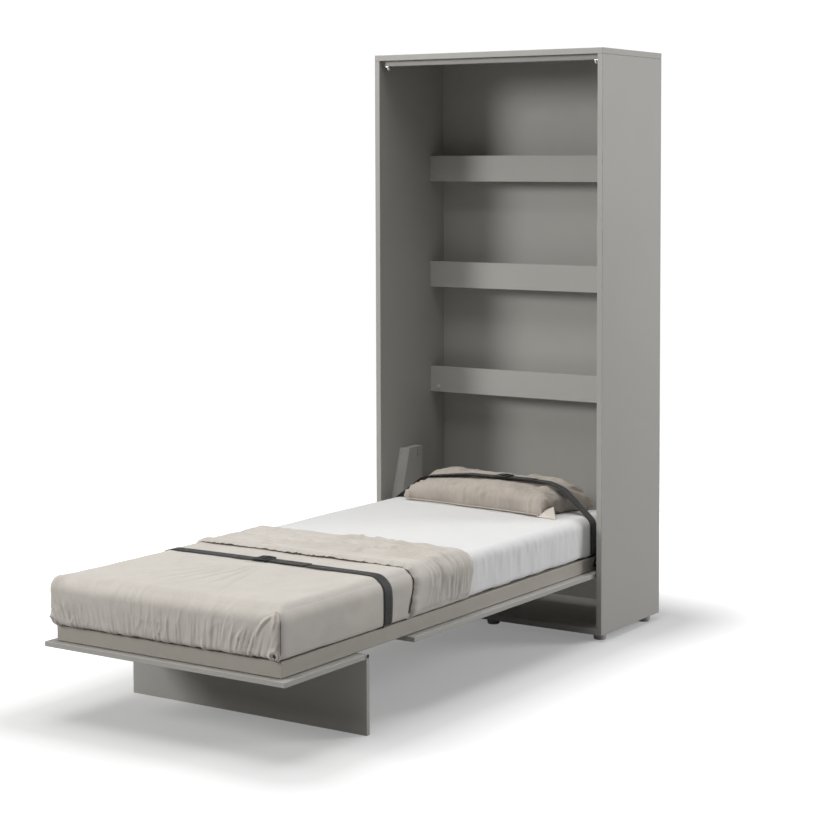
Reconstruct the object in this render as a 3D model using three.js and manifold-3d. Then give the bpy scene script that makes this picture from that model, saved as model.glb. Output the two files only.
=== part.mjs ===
// Single wall bed, folded down: a tall cabinet with three shallow shelves, a steel bed frame that
// turns on two axles near its head end, a front panel fixed under the frame, and a leg panel that
// folds out of that front panel. Millimetres, +Z up, +Y towards the wall, +X to the right.
import * as THREE from 'three';
import { ConvexGeometry } from 'three/addons/geometries/ConvexGeometry.js';
import { mergeVertices } from 'three/addons/utils/BufferGeometryUtils.js';
import Module from 'manifold-3d';

const wasm = await Module();
wasm.setup();

// ---------------------------------------------------------------- driving dimensions
const GAP = 0.3; // between pieces that touch
const CUT = 1; // how far a cutter runs past the face that it opens
const SIDES = [{ label: 'left', sign: -1 }, { label: 'right', sign: 1 }];

// Bed
const MATTRESS = { width: 890, length: 1990, height: 150, chamfer: 22 };
const RAIL = { width: 30, height: 50, wall: 2, corner: 2.5, ledgeWidth: 25, ledgeThickness: 4 };
const RAIL_OVERHANG = 3.5; // the frame stands out beyond the mattress at its sides
const RAIL_END_MARGIN = 5; // the frame stands out beyond the mattress at its ends
const SLAT = {
  count: 13, width: 55, thickness: 8, endMargin: 70,
  tapeWidth: 28, tapeThickness: 2, tapeLetIn: 0.5,
};
const TAPE_INSET = 90; // from a slat's end to its tape

// Front panel, made of a foot strip, the leg panel and the main panel
const FACADE = { thickness: 16, sideLip: 31.5, footLip: 24.5, frameGap: 1.5, edge: 1 };
const FACE_HEIGHT = 239; // outer face of the front panel above the floor, bed down
const STRIP_LENGTH = 396;
const LEG = { aboveAxis: 4, frontGap: 4, rearGap: 2 };
const LEG_PIN = { radius: 3, bore: 3.3, headRadius: 6, headThickness: 1.5, inset: 75 };
const LEG_BRACKET = { thickness: 3, halfWidth: 5.5, holeRadius: 3.2, slotClearance: 2, skin: 2 };

// Cabinet
const BOARD = 22;
const BOARD_EDGE = 1;
const CABINET_DEPTH = 455;
const FOOT = { height: 27, radius: 24, chamfer: 4, inset: 39, frontInset: 60, rearInset: 50 };
const SIDE_GAP = 5; // front panel to side panel
const TOP_GAP = 4; // closed front panel to top panel
const BOTTOM_GAP = 8; // closed front panel to bottom panel
const FRONT_INSET = 1; // closed front panel behind the cabinet's front edges
const BACK = { thickness: 8, inset: 5 };
const TOP_RAIL = { height: 20, thickness: 18, setback: 22 };
const SHELF = { count: 3, depth: 98, board: 18, lipHeight: 103, lipThickness: 16 };
const FIRST_SHELF_HEIGHT = 839;
const TOP_BAY = 467; // upper shelf to the top panel
const SHELF_NAMES = ['lower', 'middle', 'upper'];
const WALL_RAIL = { height: 60, drop: 16, endGap: 15 };

// Turning mechanism, one on each side
const PIVOT = { aboveFace: 47, fromHead: 158.5 };
const AXLE = { radius: 7, flangeRadius: 14, flangeThickness: 3.2 };
const BUSH = { radius: 13, clearance: 0.2, length: 17 };
const PLATE = { thickness: 2.7, margin: 6, rearInset: 8 };
const COVER = { depth: 32, wall: 2, frontDepth: 11.5, bevel: 22, rearFace: 239, height: 632.5 };
const COVER_LEAN = { footFront: 21, topFront: 129 };
const COVER_FLOOR_GAP = 9; // cover's lower edge above the front panel
const COVER_NOTCH = { rear: 18, above: 42 };
const COVER_SLOT = { y: 207, z: 607, width: 5, height: 30 };
const COVER_HOLE = { y: 220, z: 596, radius: 3 };
const ARM = { length: 60, angle: 45, thickness: 4, hubRadius: 16, tipRadius: 11 };
const ARM_PIN = { radius: 4, length: 6 };
const ANCHOR = { y: 160, z: 590, radius: 4, proud: 2 };
const GAS = { radius: 9, bore: 5.2, mouth: 4.3, rodRadius: 4, eyeRadius: 9, eyeHole: 4.3 };
const GAS_EYE_THICKNESS = 9;
const GAS_LENGTHS = { top: 14, neckRoot: 2, boreTop: 34, bottom: 229, mouthLength: 8, rodTop: 48 };
const GAS_AXIS_INSET = 14; // centre line of the spring from the side panel

// Small fittings
const CATCH = { width: 26, depth: 16, thickness: 2, pinRadius: 3.5, pinLength: 9, gap: 4 };
const KEEPER = { length: 44, width: 14, thickness: 2, hole: 8, pitch: 20, height: 1510, inset: 4 };
const BUMPER = { radius: 7, taper: 1, thickness: 5, fromSide: 41, above: 22 };

// Bedding
const BEDSPREAD = { side: 20, top: 10, foot: 28, chamfer: 20, gap: 1, headEdge: 1003, hem: 2 };
const FOLD = { length: 352, rise: 8, out: 4, chamfer: 26 };
const PILLOW = { sideMargin: 87, depth: 290, height: 126, turn: -6, x: -20, y: 56, plan: 4 };
const STRAP = { width: 45, thickness: 2, gap: 1.5, pillowGap: 4, samples: 32, shoulder: 15 };
const FOOT_STRAP_FROM_FOOT = 537;
const HEAD_STRAP_Y = 40;
const BUCKLE = { length: 62, width: 52, thickness: 9, slot: 7, bar: 6 };
const BUCKLE_X = { foot: -30, head: 58 };

// ---------------------------------------------------------------- derived places
const frameWidth = MATTRESS.width + 2 * RAIL_OVERHANG;
const frameLength = MATTRESS.length + 2 * RAIL_END_MARGIN;
const facadeWidth = frameWidth + 2 * FACADE.sideLip;
const innerWidth = facadeWidth + 2 * SIDE_GAP;
const cabinetWidth = innerWidth + 2 * BOARD;
const wallX = innerWidth / 2; // inner face of a side panel

const pivotY = PIVOT.aboveFace + FRONT_INSET;
const pivotZ = FACE_HEIGHT + PIVOT.aboveFace;
const facadeTop = FACE_HEIGHT + FACADE.thickness;
const railBottom = facadeTop + FACADE.frameGap;
const railTop = railBottom + RAIL.height;
const frameHeadY = pivotY + PIVOT.fromHead;
const frameFootY = frameHeadY - frameLength;
const facadeFootY = frameFootY - FACADE.footLip;
const mattressTop = railTop + GAP + MATTRESS.height;
const mattressFootY = frameFootY + RAIL_END_MARGIN;
const bottomTop = FOOT.height + BOARD;
const facadeRearY = pivotY + pivotZ - bottomTop - BOTTOM_GAP;
const undersideZ = pivotY + pivotZ - facadeFootY + TOP_GAP;
const cabinetHeight = undersideZ + BOARD;
const backFaceY = CABINET_DEPTH - BACK.inset - BACK.thickness;
const lipFrontY = backFaceY - SHELF.depth;
const legAxisY = facadeFootY + STRIP_LENGTH + LEG.frontGap + FACADE.thickness / 2;
const legAxisZ = FACE_HEIGHT + FACADE.thickness / 2;
const mainFrontY = legAxisY + legAxisZ + LEG.rearGap;
const coverBottomZ = facadeTop + COVER_FLOOR_GAP;
const gasX = wallX - GAS_AXIS_INSET;
const bedspreadFootY = mattressFootY - BEDSPREAD.gap - BEDSPREAD.foot;

// ---------------------------------------------------------------- finishes
const finish = (color, roughness, metalness = 0) =>
  new THREE.MeshStandardMaterial({ color, roughness, metalness });

const FINISH = {
  carcass: finish('#8f8e89', 0.62),
  facade: finish('#979691', 0.58),
  frame: finish('#a39d92', 0.42, 0.2),
  steel: finish('#a9abad', 0.35, 0.9),
  darkSteel: finish('#2e2f30', 0.45, 0.7),
  cover: finish('#858580', 0.5),
  foot: finish('#5a5b59', 0.6),
  slat: finish('#c9b48a', 0.6),
  mattress: finish('#eceae6', 0.9),
  blanket: finish('#c9bfb3', 0.85),
  webbing: finish('#38393a', 0.8),
  buckle: finish('#17181a', 0.45),
};

// ---------------------------------------------------------------- shape helpers
function mesh(name, geometry, material) {
  const result = new THREE.Mesh(geometry, material);
  result.name = name;
  return result;
}

function toSolid(geometry) {
  const plain = geometry.clone();
  plain.deleteAttribute('normal');
  plain.deleteAttribute('uv');
  const merged = mergeVertices(plain, 1e-4);
  return new wasm.Manifold(new wasm.Mesh({
    numProp: 3,
    vertProperties: merged.attributes.position.array,
    triVerts: new Uint32Array(merged.index.array),
  }));
}

function toGeometry(solid) {
  const { vertProperties, triVerts } = solid.getMesh();
  const geometry = new THREE.BufferGeometry();
  geometry.setAttribute('position', new THREE.BufferAttribute(vertProperties, 3));
  geometry.setIndex(new THREE.BufferAttribute(triVerts, 1));
  return geometry;
}

const join = (first, ...others) =>
  toGeometry(others.reduce((solid, other) => solid.add(toSolid(other)), toSolid(first)));

const cut = (first, ...others) =>
  toGeometry(others.reduce((solid, other) => solid.subtract(toSolid(other)), toSolid(first)));

function box(x, y, z) {
  const geometry = new THREE.BoxGeometry(x[1] - x[0], y[1] - y[0], z[1] - z[0]);
  return geometry.translate((x[0] + x[1]) / 2, (y[0] + y[1]) / 2, (z[0] + z[1]) / 2);
}

// A box whose twelve edges are chamfered, as an edge-banded board or a soft block is.
function board(x, y, z, edge = BOARD_EDGE) {
  const points = [];
  const ranges = [x, y, z];
  for (let corner = 0; corner < 8; corner += 1) {
    const ends = [corner & 1, (corner >> 1) & 1, (corner >> 2) & 1];
    for (let flat = 0; flat < 3; flat += 1) {
      const place = ends.map((end, axis) => {
        const inward = end ? -edge : edge;
        return ranges[axis][end] + (axis === flat ? 0 : inward);
      });
      points.push(new THREE.Vector3(...place));
    }
  }
  return new ConvexGeometry(points);
}

// A cylinder along X from one x to another, centred on (y, z).
function roundBar(x, y, z, radius, sides = 24) {
  const length = Math.abs(x[1] - x[0]);
  const geometry = new THREE.CylinderGeometry(radius, radius, length, sides);
  return geometry.rotateZ(Math.PI / 2).translate((x[0] + x[1]) / 2, y, z);
}

// Extrudes an outline given in (y, z) along X, from the lower x to the higher one.
function plateAlongX(shape, x) {
  const low = Math.min(...x);
  const geometry = new THREE.ExtrudeGeometry(shape, {
    depth: Math.abs(x[1] - x[0]), bevelEnabled: false, curveSegments: 12,
  });
  const toWorld = new THREE.Matrix4().set(0, 0, 1, low, 1, 0, 0, 0, 0, 1, 0, 0, 0, 0, 0, 1);
  return geometry.applyMatrix4(toWorld);
}

function polygon(points) {
  return new THREE.Shape(points.map(([a, b]) => new THREE.Vector2(a, b)));
}

const circleHole = (x, y, radius) => new THREE.Path().absarc(x, y, radius, 0, 2 * Math.PI, true);

const span = (sign, near, far) => [sign * near, sign * far].sort((a, b) => a - b);

// ---------------------------------------------------------------- cabinet
function carcass() {
  const side = ({ label, sign }) => mesh(
    `side_panel_${label}`,
    board(span(sign, wallX, wallX + BOARD), [0, CABINET_DEPTH], [FOOT.height, undersideZ - GAP]),
    FINISH.carcass,
  );
  const inside = [-wallX + GAP, wallX - GAP];
  return [
    ...SIDES.map(side),
    mesh('top_panel', board(
      [-cabinetWidth / 2, cabinetWidth / 2], [0, CABINET_DEPTH], [undersideZ, cabinetHeight],
    ), FINISH.carcass),
    mesh('bottom_panel', board(
      inside, [0, CABINET_DEPTH], [FOOT.height, bottomTop],
    ), FINISH.carcass),
    mesh('back_panel', box(
      inside, [backFaceY, backFaceY + BACK.thickness], [bottomTop + GAP, undersideZ - GAP],
    ), FINISH.carcass),
    mesh('top_rail', board(
      inside,
      [TOP_RAIL.setback, TOP_RAIL.setback + TOP_RAIL.thickness],
      [undersideZ - TOP_RAIL.height, undersideZ - GAP],
    ), FINISH.carcass),
  ];
}

function wallRail() {
  const x = wallX - WALL_RAIL.endGap;
  const top = undersideZ - WALL_RAIL.drop;
  const y = [backFaceY + BACK.thickness + GAP, CABINET_DEPTH];
  return mesh('wall_rail', box([-x, x], y, [top - WALL_RAIL.height, top]), FINISH.steel);
}

function shelf(index) {
  const pitch = (undersideZ - TOP_BAY - FIRST_SHELF_HEIGHT) / (SHELF.count - 1);
  const z = FIRST_SHELF_HEIGHT + index * pitch;
  const x = [-wallX + GAP, wallX - GAP];
  const lipRearY = lipFrontY + SHELF.lipThickness;
  return [
    mesh(`shelf_lip_${SHELF_NAMES[index]}`, board(
      x, [lipFrontY, lipRearY], [z, z + SHELF.lipHeight],
    ), FINISH.carcass),
    mesh(`shelf_board_${SHELF_NAMES[index]}`, box(
      x, [lipRearY + GAP, backFaceY - GAP], [z, z + SHELF.board],
    ), FINISH.carcass),
  ];
}

function levellingFeet() {
  const profile = [
    [0, 0], [FOOT.radius - FOOT.chamfer, 0], [FOOT.radius, FOOT.chamfer],
    [FOOT.radius, FOOT.height - GAP], [0, FOOT.height - GAP],
  ].map(([r, z]) => new THREE.Vector2(r, z));
  const feet = [];
  const outerX = cabinetWidth / 2 - FOOT.inset;
  const columns = { left: -outerX, centre: 0, right: outerX };
  const rows = { front: FOOT.frontInset, rear: CABINET_DEPTH - FOOT.rearInset };
  for (const [row, y] of Object.entries(rows)) {
    for (const [column, x] of Object.entries(columns)) {
      const geometry = new THREE.LatheGeometry(profile, 32).rotateX(Math.PI / 2);
      const foot = mesh(`foot_${row}_${column}`, geometry, FINISH.foot);
      foot.position.set(x, y, 0);
      feet.push(foot);
    }
  }
  return feet;
}

function topCatch({ label, sign }) {
  const x = span(sign, wallX - GAP - CATCH.width, wallX - GAP);
  const top = undersideZ - TOP_RAIL.height - GAP;
  const y = TOP_RAIL.setback + TOP_RAIL.thickness / 2;
  const flange = box(x, [y - CATCH.depth / 2, y + CATCH.depth / 2], [top - CATCH.thickness, top]);
  const ear = box(
    span(sign, wallX - GAP - CATCH.thickness, wallX - GAP),
    [y - CATCH.depth / 2, y + CATCH.depth / 2],
    [top - CATCH.depth, top],
  );
  const pin = roundBar(
    span(sign, wallX - GAP - CATCH.thickness - CATCH.pinLength, wallX - GAP - CATCH.thickness / 2),
    y, top - CATCH.gap - 2 * CATCH.pinRadius, CATCH.pinRadius,
  );
  return mesh(`top_catch_${label}`, join(flange, ear, pin), FINISH.steel);
}

function sideKeeper() {
  const x = [wallX - GAP - KEEPER.thickness, wallX - GAP];
  const y = KEEPER.inset + KEEPER.width / 2;
  const plate = box(
    x,
    [KEEPER.inset, KEEPER.inset + KEEPER.width],
    [KEEPER.height - KEEPER.length / 2, KEEPER.height + KEEPER.length / 2],
  );
  const holes = [-1, 1].map((end) => {
    const z = KEEPER.height + end * KEEPER.pitch / 2;
    const half = KEEPER.hole / 2;
    return box([x[0] - CUT, x[1] + CUT], [y - half, y + half], [z - half, z + half]);
  });
  return mesh('side_keeper', cut(plate, ...holes), FINISH.steel);
}

function shelfBumper() {
  const geometry = new THREE.CylinderGeometry(
    BUMPER.radius, BUMPER.radius - BUMPER.taper, BUMPER.thickness, 24,
  );
  const bumper = mesh('shelf_bumper', geometry, FINISH.foot);
  bumper.position.set(
    BUMPER.fromSide - wallX, lipFrontY - GAP - BUMPER.thickness / 2, FIRST_SHELF_HEIGHT + BUMPER.above,
  );
  return bumper;
}

// ---------------------------------------------------------------- turning mechanism
// Front edge of the cover on the side panel, as a function of height.
function coverFrontY(z) {
  const along = (z - coverBottomZ) / (COVER.height - coverBottomZ);
  return COVER_LEAN.footFront + along * (COVER_LEAN.topFront - COVER_LEAN.footFront);
}

function coverBlock(sign, inset, wallReach, bottomZ) {
  const topZ = COVER.height - inset;
  const rearY = COVER.rearFace - inset;
  const layers = [
    { x: wallX - GAP + wallReach, back: 0 },
    { x: wallX - COVER.frontDepth, back: 0 },
    { x: wallX - COVER.depth + inset, back: COVER.bevel },
  ];
  const points = layers.flatMap(({ x, back }) => [
    [x, coverFrontY(bottomZ) + back + inset, bottomZ],
    [x, coverFrontY(topZ) + back + inset, topZ],
    [x, rearY, bottomZ],
    [x, rearY, topZ],
  ]);
  return new ConvexGeometry(points.map(([x, y, z]) => new THREE.Vector3(sign * x, y, z)));
}

function mechanismCover({ label, sign }) {
  const through = span(sign, wallX - COVER.depth - CUT, wallX + CUT);
  const notchTop = pivotZ + COVER_NOTCH.above;
  const notch = box(
    through, [-CUT, pivotY + COVER_NOTCH.rear], [coverBottomZ - CUT, notchTop],
  );
  const slot = box(
    through,
    [COVER_SLOT.y - COVER_SLOT.width / 2, COVER_SLOT.y + COVER_SLOT.width / 2],
    [COVER_SLOT.z - COVER_SLOT.height / 2, COVER_SLOT.z + COVER_SLOT.height / 2],
  );
  const hole = roundBar(through, COVER_HOLE.y, COVER_HOLE.z, COVER_HOLE.radius, 16);
  const shell = cut(
    coverBlock(sign, 0, 0, coverBottomZ),
    coverBlock(sign, COVER.wall, COVER.wall, coverBottomZ - COVER.wall),
    notch, slot, hole,
  );
  return mesh(`mechanism_cover_${label}`, shell, FINISH.cover);
}

function mechanismPlate({ label, sign }) {
  const plateX = span(sign, wallX - GAP - PLATE.thickness, wallX - GAP);
  const rearY = COVER.rearFace - PLATE.rearInset;
  const topZ = COVER.height - PLATE.rearInset;
  const lowZ = pivotZ - BUSH.radius - PLATE.margin;
  const kneeZ = pivotZ + COVER_NOTCH.above;
  const outline = polygon([
    [pivotY - BUSH.radius - PLATE.margin, lowZ],
    [rearY, lowZ],
    [rearY, topZ],
    [coverFrontY(topZ) + PLATE.rearInset, topZ],
    [coverFrontY(kneeZ) + PLATE.rearInset, kneeZ],
    [pivotY - BUSH.radius - PLATE.margin, pivotZ + PLATE.margin],
  ]);
  const stud = roundBar(
    span(sign, gasX - GAS_EYE_THICKNESS / 2 - ANCHOR.proud, wallX - GAP - PLATE.thickness / 2),
    ANCHOR.y, ANCHOR.z, ANCHOR.radius,
  );
  const plate = join(plateAlongX(outline, plateX), stud);
  return mesh(`mechanism_plate_${label}`, plate, FINISH.darkSteel);
}

function pivotBush({ label, sign }) {
  const rim = new THREE.Shape().absarc(0, 0, BUSH.radius, 0, 2 * Math.PI, false);
  rim.holes.push(circleHole(0, 0, AXLE.radius + BUSH.clearance));
  const outer = wallX - GAP - PLATE.thickness - GAP;
  const geometry = plateAlongX(rim, span(sign, outer - BUSH.length, outer));
  const bush = mesh(`pivot_bush_${label}`, geometry, FINISH.steel);
  bush.position.set(0, pivotY, pivotZ);
  return bush;
}

function pivotAxle({ label, sign }) {
  const start = frameWidth / 2 + GAP;
  const end = wallX - GAP - PLATE.thickness - 2 * GAP;
  const flange = roundBar(
    span(sign, start, start + AXLE.flangeThickness), pivotY, pivotZ, AXLE.flangeRadius, 6,
  );
  const shaft = roundBar(span(sign, start, end), pivotY, pivotZ, AXLE.radius, 32);
  return mesh(`pivot_axle_${label}`, join(flange, shaft), FINISH.steel);
}

// Where the gas spring meets the lift arm, bed down.
const armAngle = THREE.MathUtils.degToRad(ARM.angle);
const armTip = {
  y: pivotY + ARM.length * Math.cos(armAngle),
  z: pivotZ + ARM.length * Math.sin(armAngle),
};

function liftArm({ label, sign }) {
  const inner = wallX - COVER.depth + COVER.wall + 2 * GAP;
  const outline = new THREE.Shape();
  const lean = Math.asin((ARM.hubRadius - ARM.tipRadius) / ARM.length);
  outline.absarc(0, 0, ARM.hubRadius, Math.PI / 2 - lean, 1.5 * Math.PI + lean, false);
  outline.absarc(ARM.length, 0, ARM.tipRadius, lean - Math.PI / 2, Math.PI / 2 - lean, false);
  outline.holes.push(circleHole(0, 0, AXLE.radius + GAP));
  const plate = plateAlongX(outline, span(sign, inner, inner + ARM.thickness));
  const pin = roundBar(
    span(sign, inner + ARM.thickness / 2, inner + ARM.thickness + ARM_PIN.length),
    ARM.length, 0, ARM_PIN.radius,
  );
  const arm = mesh(`lift_arm_${label}`, join(plate, pin), FINISH.darkSteel);
  arm.position.set(0, pivotY, pivotZ);
  arm.rotation.x = armAngle;
  return arm;
}

function eye(z) {
  const half = GAS_EYE_THICKNESS / 2;
  return {
    lug: roundBar([-half, half], 0, z, GAS.eyeRadius),
    hole: roundBar([-half - CUT, half + CUT], 0, z, GAS.eyeHole),
  };
}

const latheAlongZ = (profile) =>
  new THREE.LatheGeometry(profile.map(([r, z]) => new THREE.Vector2(r, z)), 24).rotateX(Math.PI / 2);

// The spring hangs from its anchor, so its own Z runs up its centre line.
function gasSpring({ label, sign }) {
  const { top, neckRoot, boreTop, bottom, mouthLength, rodTop } = GAS_LENGTHS;
  const reach = Math.hypot(ANCHOR.y - armTip.y, ANCHOR.z - armTip.z);
  const upper = eye(0);
  const tube = latheAlongZ([
    [0, -boreTop], [GAS.bore, -boreTop], [GAS.bore, mouthLength - bottom],
    [GAS.mouth, mouthLength - bottom], [GAS.mouth, -bottom], [GAS.radius, -bottom],
    [GAS.radius, -top], [0, -top],
  ]);
  const neck = latheAlongZ([
    [0, -top - neckRoot], [GAS.rodRadius, -top - neckRoot], [GAS.rodRadius, 0], [0, 0],
  ]);
  const lower = eye(-reach);
  const bar = latheAlongZ([
    [0, -reach], [GAS.rodRadius, -reach], [GAS.rodRadius, -rodTop], [0, -rodTop],
  ]);
  const cylinderShape = cut(join(tube, neck, upper.lug), upper.hole);
  const cylinder = mesh(`gas_cylinder_${label}`, cylinderShape, FINISH.darkSteel);
  const rod = mesh(`gas_rod_${label}`, cut(join(bar, lower.lug), lower.hole), FINISH.steel);
  const spring = new THREE.Group();
  spring.add(cylinder, rod);
  spring.position.set(sign * gasX, ANCHOR.y, ANCHOR.z);
  spring.rotation.x = -Math.atan2(ANCHOR.y - armTip.y, ANCHOR.z - armTip.z);
  return spring;
}

// ---------------------------------------------------------------- bed frame
// Tube with an inward ledge for the slats. Outline in (inward, up) from the outer lower edge.
function railOutline() {
  const { width, height, wall, corner, ledgeWidth, ledgeThickness } = RAIL;
  const ledgeTop = height - SLAT.thickness - GAP;
  const outline = polygon([
    [corner, 0], [width - corner, 0], [width, corner],
    [width, ledgeTop - ledgeThickness], [width + ledgeWidth, ledgeTop - ledgeThickness],
    [width + ledgeWidth, ledgeTop], [width, ledgeTop],
    [width, height - corner], [width - corner, height], [corner, height],
    [0, height - corner], [0, corner],
  ]);
  const bore = [[wall, wall], [wall, height - wall], [width - wall, height - wall], [width - wall, wall]];
  outline.holes.push(polygon(bore));
  return outline;
}

// A rail along its own Y, outer face on x = 0, both ends cut back at 45 degrees.
function mitredRail(name, length) {
  const geometry = new THREE.ExtrudeGeometry(railOutline(), { depth: length, bevelEnabled: false });
  geometry.rotateX(Math.PI / 2).translate(0, length / 2, 0);
  const position = geometry.attributes.position;
  for (let i = 0; i < position.count; i += 1) {
    const end = Math.sign(position.getY(i));
    position.setY(i, end * (length / 2 - GAP / 2 - position.getX(i)));
  }
  return mesh(name, geometry, FINISH.frame);
}

function bedFrame() {
  const middleY = (frameHeadY + frameFootY) / 2;
  const placed = (name, length, x, y, turn) => {
    const rail = mitredRail(name, length);
    rail.position.set(x, y, railBottom);
    rail.rotation.z = turn;
    return rail;
  };
  return [
    placed('side_rail_left', frameLength, -frameWidth / 2, middleY, 0),
    placed('side_rail_right', frameLength, frameWidth / 2, middleY, Math.PI),
    placed('foot_rail', frameWidth, 0, frameFootY, Math.PI / 2),
    placed('head_rail', frameWidth, 0, frameHeadY, -Math.PI / 2),
  ];
}

// Roll-out slatted base: slats held at their spacing by two webbing tapes.
function slattedBase() {
  const half = frameWidth / 2 - RAIL.width - GAP;
  const first = frameFootY + RAIL.width + SLAT.endMargin;
  const last = frameHeadY - RAIL.width - SLAT.endMargin - SLAT.width;
  const pitch = (last - first) / (SLAT.count - 1);
  const top = railTop;
  const slats = [];
  for (let i = 0; i < SLAT.count; i += 1) {
    const y = first + i * pitch;
    slats.push(box([-half, half], [y, y + SLAT.width], [top - SLAT.thickness, top]));
  }
  const tapeTop = top - SLAT.thickness + SLAT.tapeLetIn;
  const tapes = SIDES.map(({ sign }) => box(
    span(sign, half - TAPE_INSET - SLAT.tapeWidth, half - TAPE_INSET),
    [first, last + SLAT.width],
    [tapeTop - SLAT.tapeThickness, tapeTop],
  ));
  return mesh('slatted_base', join(tapes[0], tapes[1], ...slats), FINISH.slat);
}

// ---------------------------------------------------------------- front panel and leg
function facade() {
  const x = [-facadeWidth / 2, facadeWidth / 2];
  const z = [FACE_HEIGHT, facadeTop];
  return [
    mesh('front_strip_foot', board(x, [facadeFootY, facadeFootY + STRIP_LENGTH], z), FINISH.facade),
    mesh('front_panel_main', board(x, [mainFrontY, facadeRearY], z), FINISH.facade),
  ];
}

const bracketX = frameWidth / 2 - RAIL.width - GAP; // outer face of a leg bracket

function legPanel() {
  const half = FACADE.thickness / 2;
  const x = [-facadeWidth / 2, facadeWidth / 2];
  const panel = board(x, [legAxisY - half, legAxisY + half], [0, legAxisZ + LEG.aboveAxis]);
  const clearance = LEG_BRACKET.slotClearance;
  const cutters = SIDES.flatMap(({ sign }) => [
    box(
      span(sign, bracketX - LEG_BRACKET.thickness - clearance, bracketX + clearance),
      [legAxisY - half + LEG_BRACKET.skin, legAxisY + half + CUT],
      [legAxisZ - LEG_BRACKET.halfWidth - clearance, legAxisZ + LEG.aboveAxis + CUT],
    ),
    roundBar(
      span(sign, facadeWidth / 2 - LEG_PIN.inset - CUT, facadeWidth / 2 + CUT),
      legAxisY, legAxisZ, LEG_PIN.bore,
    ),
    roundBar(
      span(sign, facadeWidth / 2 - LEG_PIN.headThickness - GAP, facadeWidth / 2 + CUT),
      legAxisY, legAxisZ, LEG_PIN.headRadius + GAP,
    ),
  ]);
  return mesh('leg_panel', cut(panel, ...cutters), FINISH.facade);
}

function legPin({ label, sign }) {
  const outer = facadeWidth / 2;
  const head = roundBar(
    span(sign, outer - LEG_PIN.headThickness, outer), legAxisY, legAxisZ, LEG_PIN.headRadius,
  );
  const shank = roundBar(
    span(sign, outer - LEG_PIN.inset, outer - LEG_PIN.headThickness / 2),
    legAxisY, legAxisZ, LEG_PIN.radius,
  );
  return mesh(`leg_pin_${label}`, join(head, shank), FINISH.darkSteel);
}

function legBracket({ label, sign }) {
  const { halfWidth, thickness, holeRadius } = LEG_BRACKET;
  const top = RAIL.height - SLAT.thickness - RAIL.ledgeThickness - 2 * GAP + railBottom - legAxisZ;
  const outline = new THREE.Shape();
  outline.absarc(0, 0, halfWidth, Math.PI, 2 * Math.PI, false);
  outline.lineTo(halfWidth, top);
  outline.lineTo(-halfWidth, top);
  outline.holes.push(circleHole(0, 0, holeRadius));
  const geometry = plateAlongX(outline, span(sign, bracketX - thickness, bracketX));
  const bracket = mesh(`leg_bracket_${label}`, geometry, FINISH.darkSteel);
  bracket.position.set(0, legAxisY, legAxisZ);
  return bracket;
}

// ---------------------------------------------------------------- bedding
function mattress() {
  const half = MATTRESS.width / 2;
  return mesh('mattress', board(
    [-half, half],
    [mattressFootY, mattressFootY + MATTRESS.length],
    [railTop + GAP, mattressTop],
    MATTRESS.chamfer,
  ), FINISH.mattress);
}

const coverHalf = MATTRESS.width / 2 + BEDSPREAD.gap + BEDSPREAD.side;
const spreadTop = mattressTop + BEDSPREAD.gap + BEDSPREAD.top;
const spreadHeadY = bedspreadFootY + BEDSPREAD.headEdge + BEDSPREAD.foot;
const hemZ = railTop + BEDSPREAD.hem;

// Bedspread over the foot half of the mattress, its head end turned back on itself.
function bedspread() {
  const { gap, chamfer } = BEDSPREAD;
  const below = hemZ - 2 * chamfer;
  const beyond = spreadHeadY + 2 * chamfer;
  const body = board(
    [-coverHalf, coverHalf], [bedspreadFootY, beyond], [below, spreadTop], chamfer,
  );
  const fold = board(
    [-coverHalf - FOLD.out, coverHalf + FOLD.out],
    [spreadHeadY - FOLD.length, beyond],
    [below, spreadTop + FOLD.rise],
    FOLD.chamfer,
  );
  const inside = MATTRESS.width / 2 + gap;
  const hollow = box(
    [-inside, inside], [mattressFootY - gap, beyond + gap], [below - gap, mattressTop + gap],
  );
  const everyX = [-cabinetWidth, cabinetWidth];
  const head = box(everyX, [spreadHeadY, beyond + gap], [below - gap, cabinetHeight]);
  const hem = box(everyX, [bedspreadFootY - gap, beyond + gap], [below - gap, hemZ]);
  return mesh('bedspread', cut(join(body, fold), hollow, head, hem), FINISH.blanket);
}

const pillowLength = MATTRESS.width - 2 * PILLOW.sideMargin;

// Height of the pillow's upper face above its middle plane, at a point of its own plan.
function pillowRise(x, y) {
  const { depth, height, plan } = PILLOW;
  const reach = Math.abs(2 * x / pillowLength) ** plan + Math.abs(2 * y / depth) ** plan;
  const r = reach ** (1 / plan);
  return r < 1 ? (height / 2) * Math.sqrt(1 - r * r) : 0;
}

const pillowZ = mattressTop + GAP + PILLOW.height / 2;

function pillow() {
  const geometry = new THREE.SphereGeometry(1, 32, 12).rotateX(Math.PI / 2);
  const position = geometry.attributes.position;
  const point = new THREE.Vector3();
  for (let i = 0; i < position.count; i += 1) {
    point.fromBufferAttribute(position, i);
    const flat = Math.hypot(point.x, point.y);
    const powers = Math.abs(point.x) ** PILLOW.plan + Math.abs(point.y) ** PILLOW.plan;
    const square = powers ** (1 / PILLOW.plan);
    const stretch = square > 0 ? flat / square : 1;
    position.setXYZ(
      i,
      point.x * stretch * pillowLength / 2,
      point.y * stretch * PILLOW.depth / 2,
      point.z * PILLOW.height / 2,
    );
  }
  const result = mesh('pillow', geometry, FINISH.blanket);
  result.position.set(PILLOW.x, PILLOW.y, pillowZ);
  result.rotation.z = THREE.MathUtils.degToRad(PILLOW.turn);
  return result;
}

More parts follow.
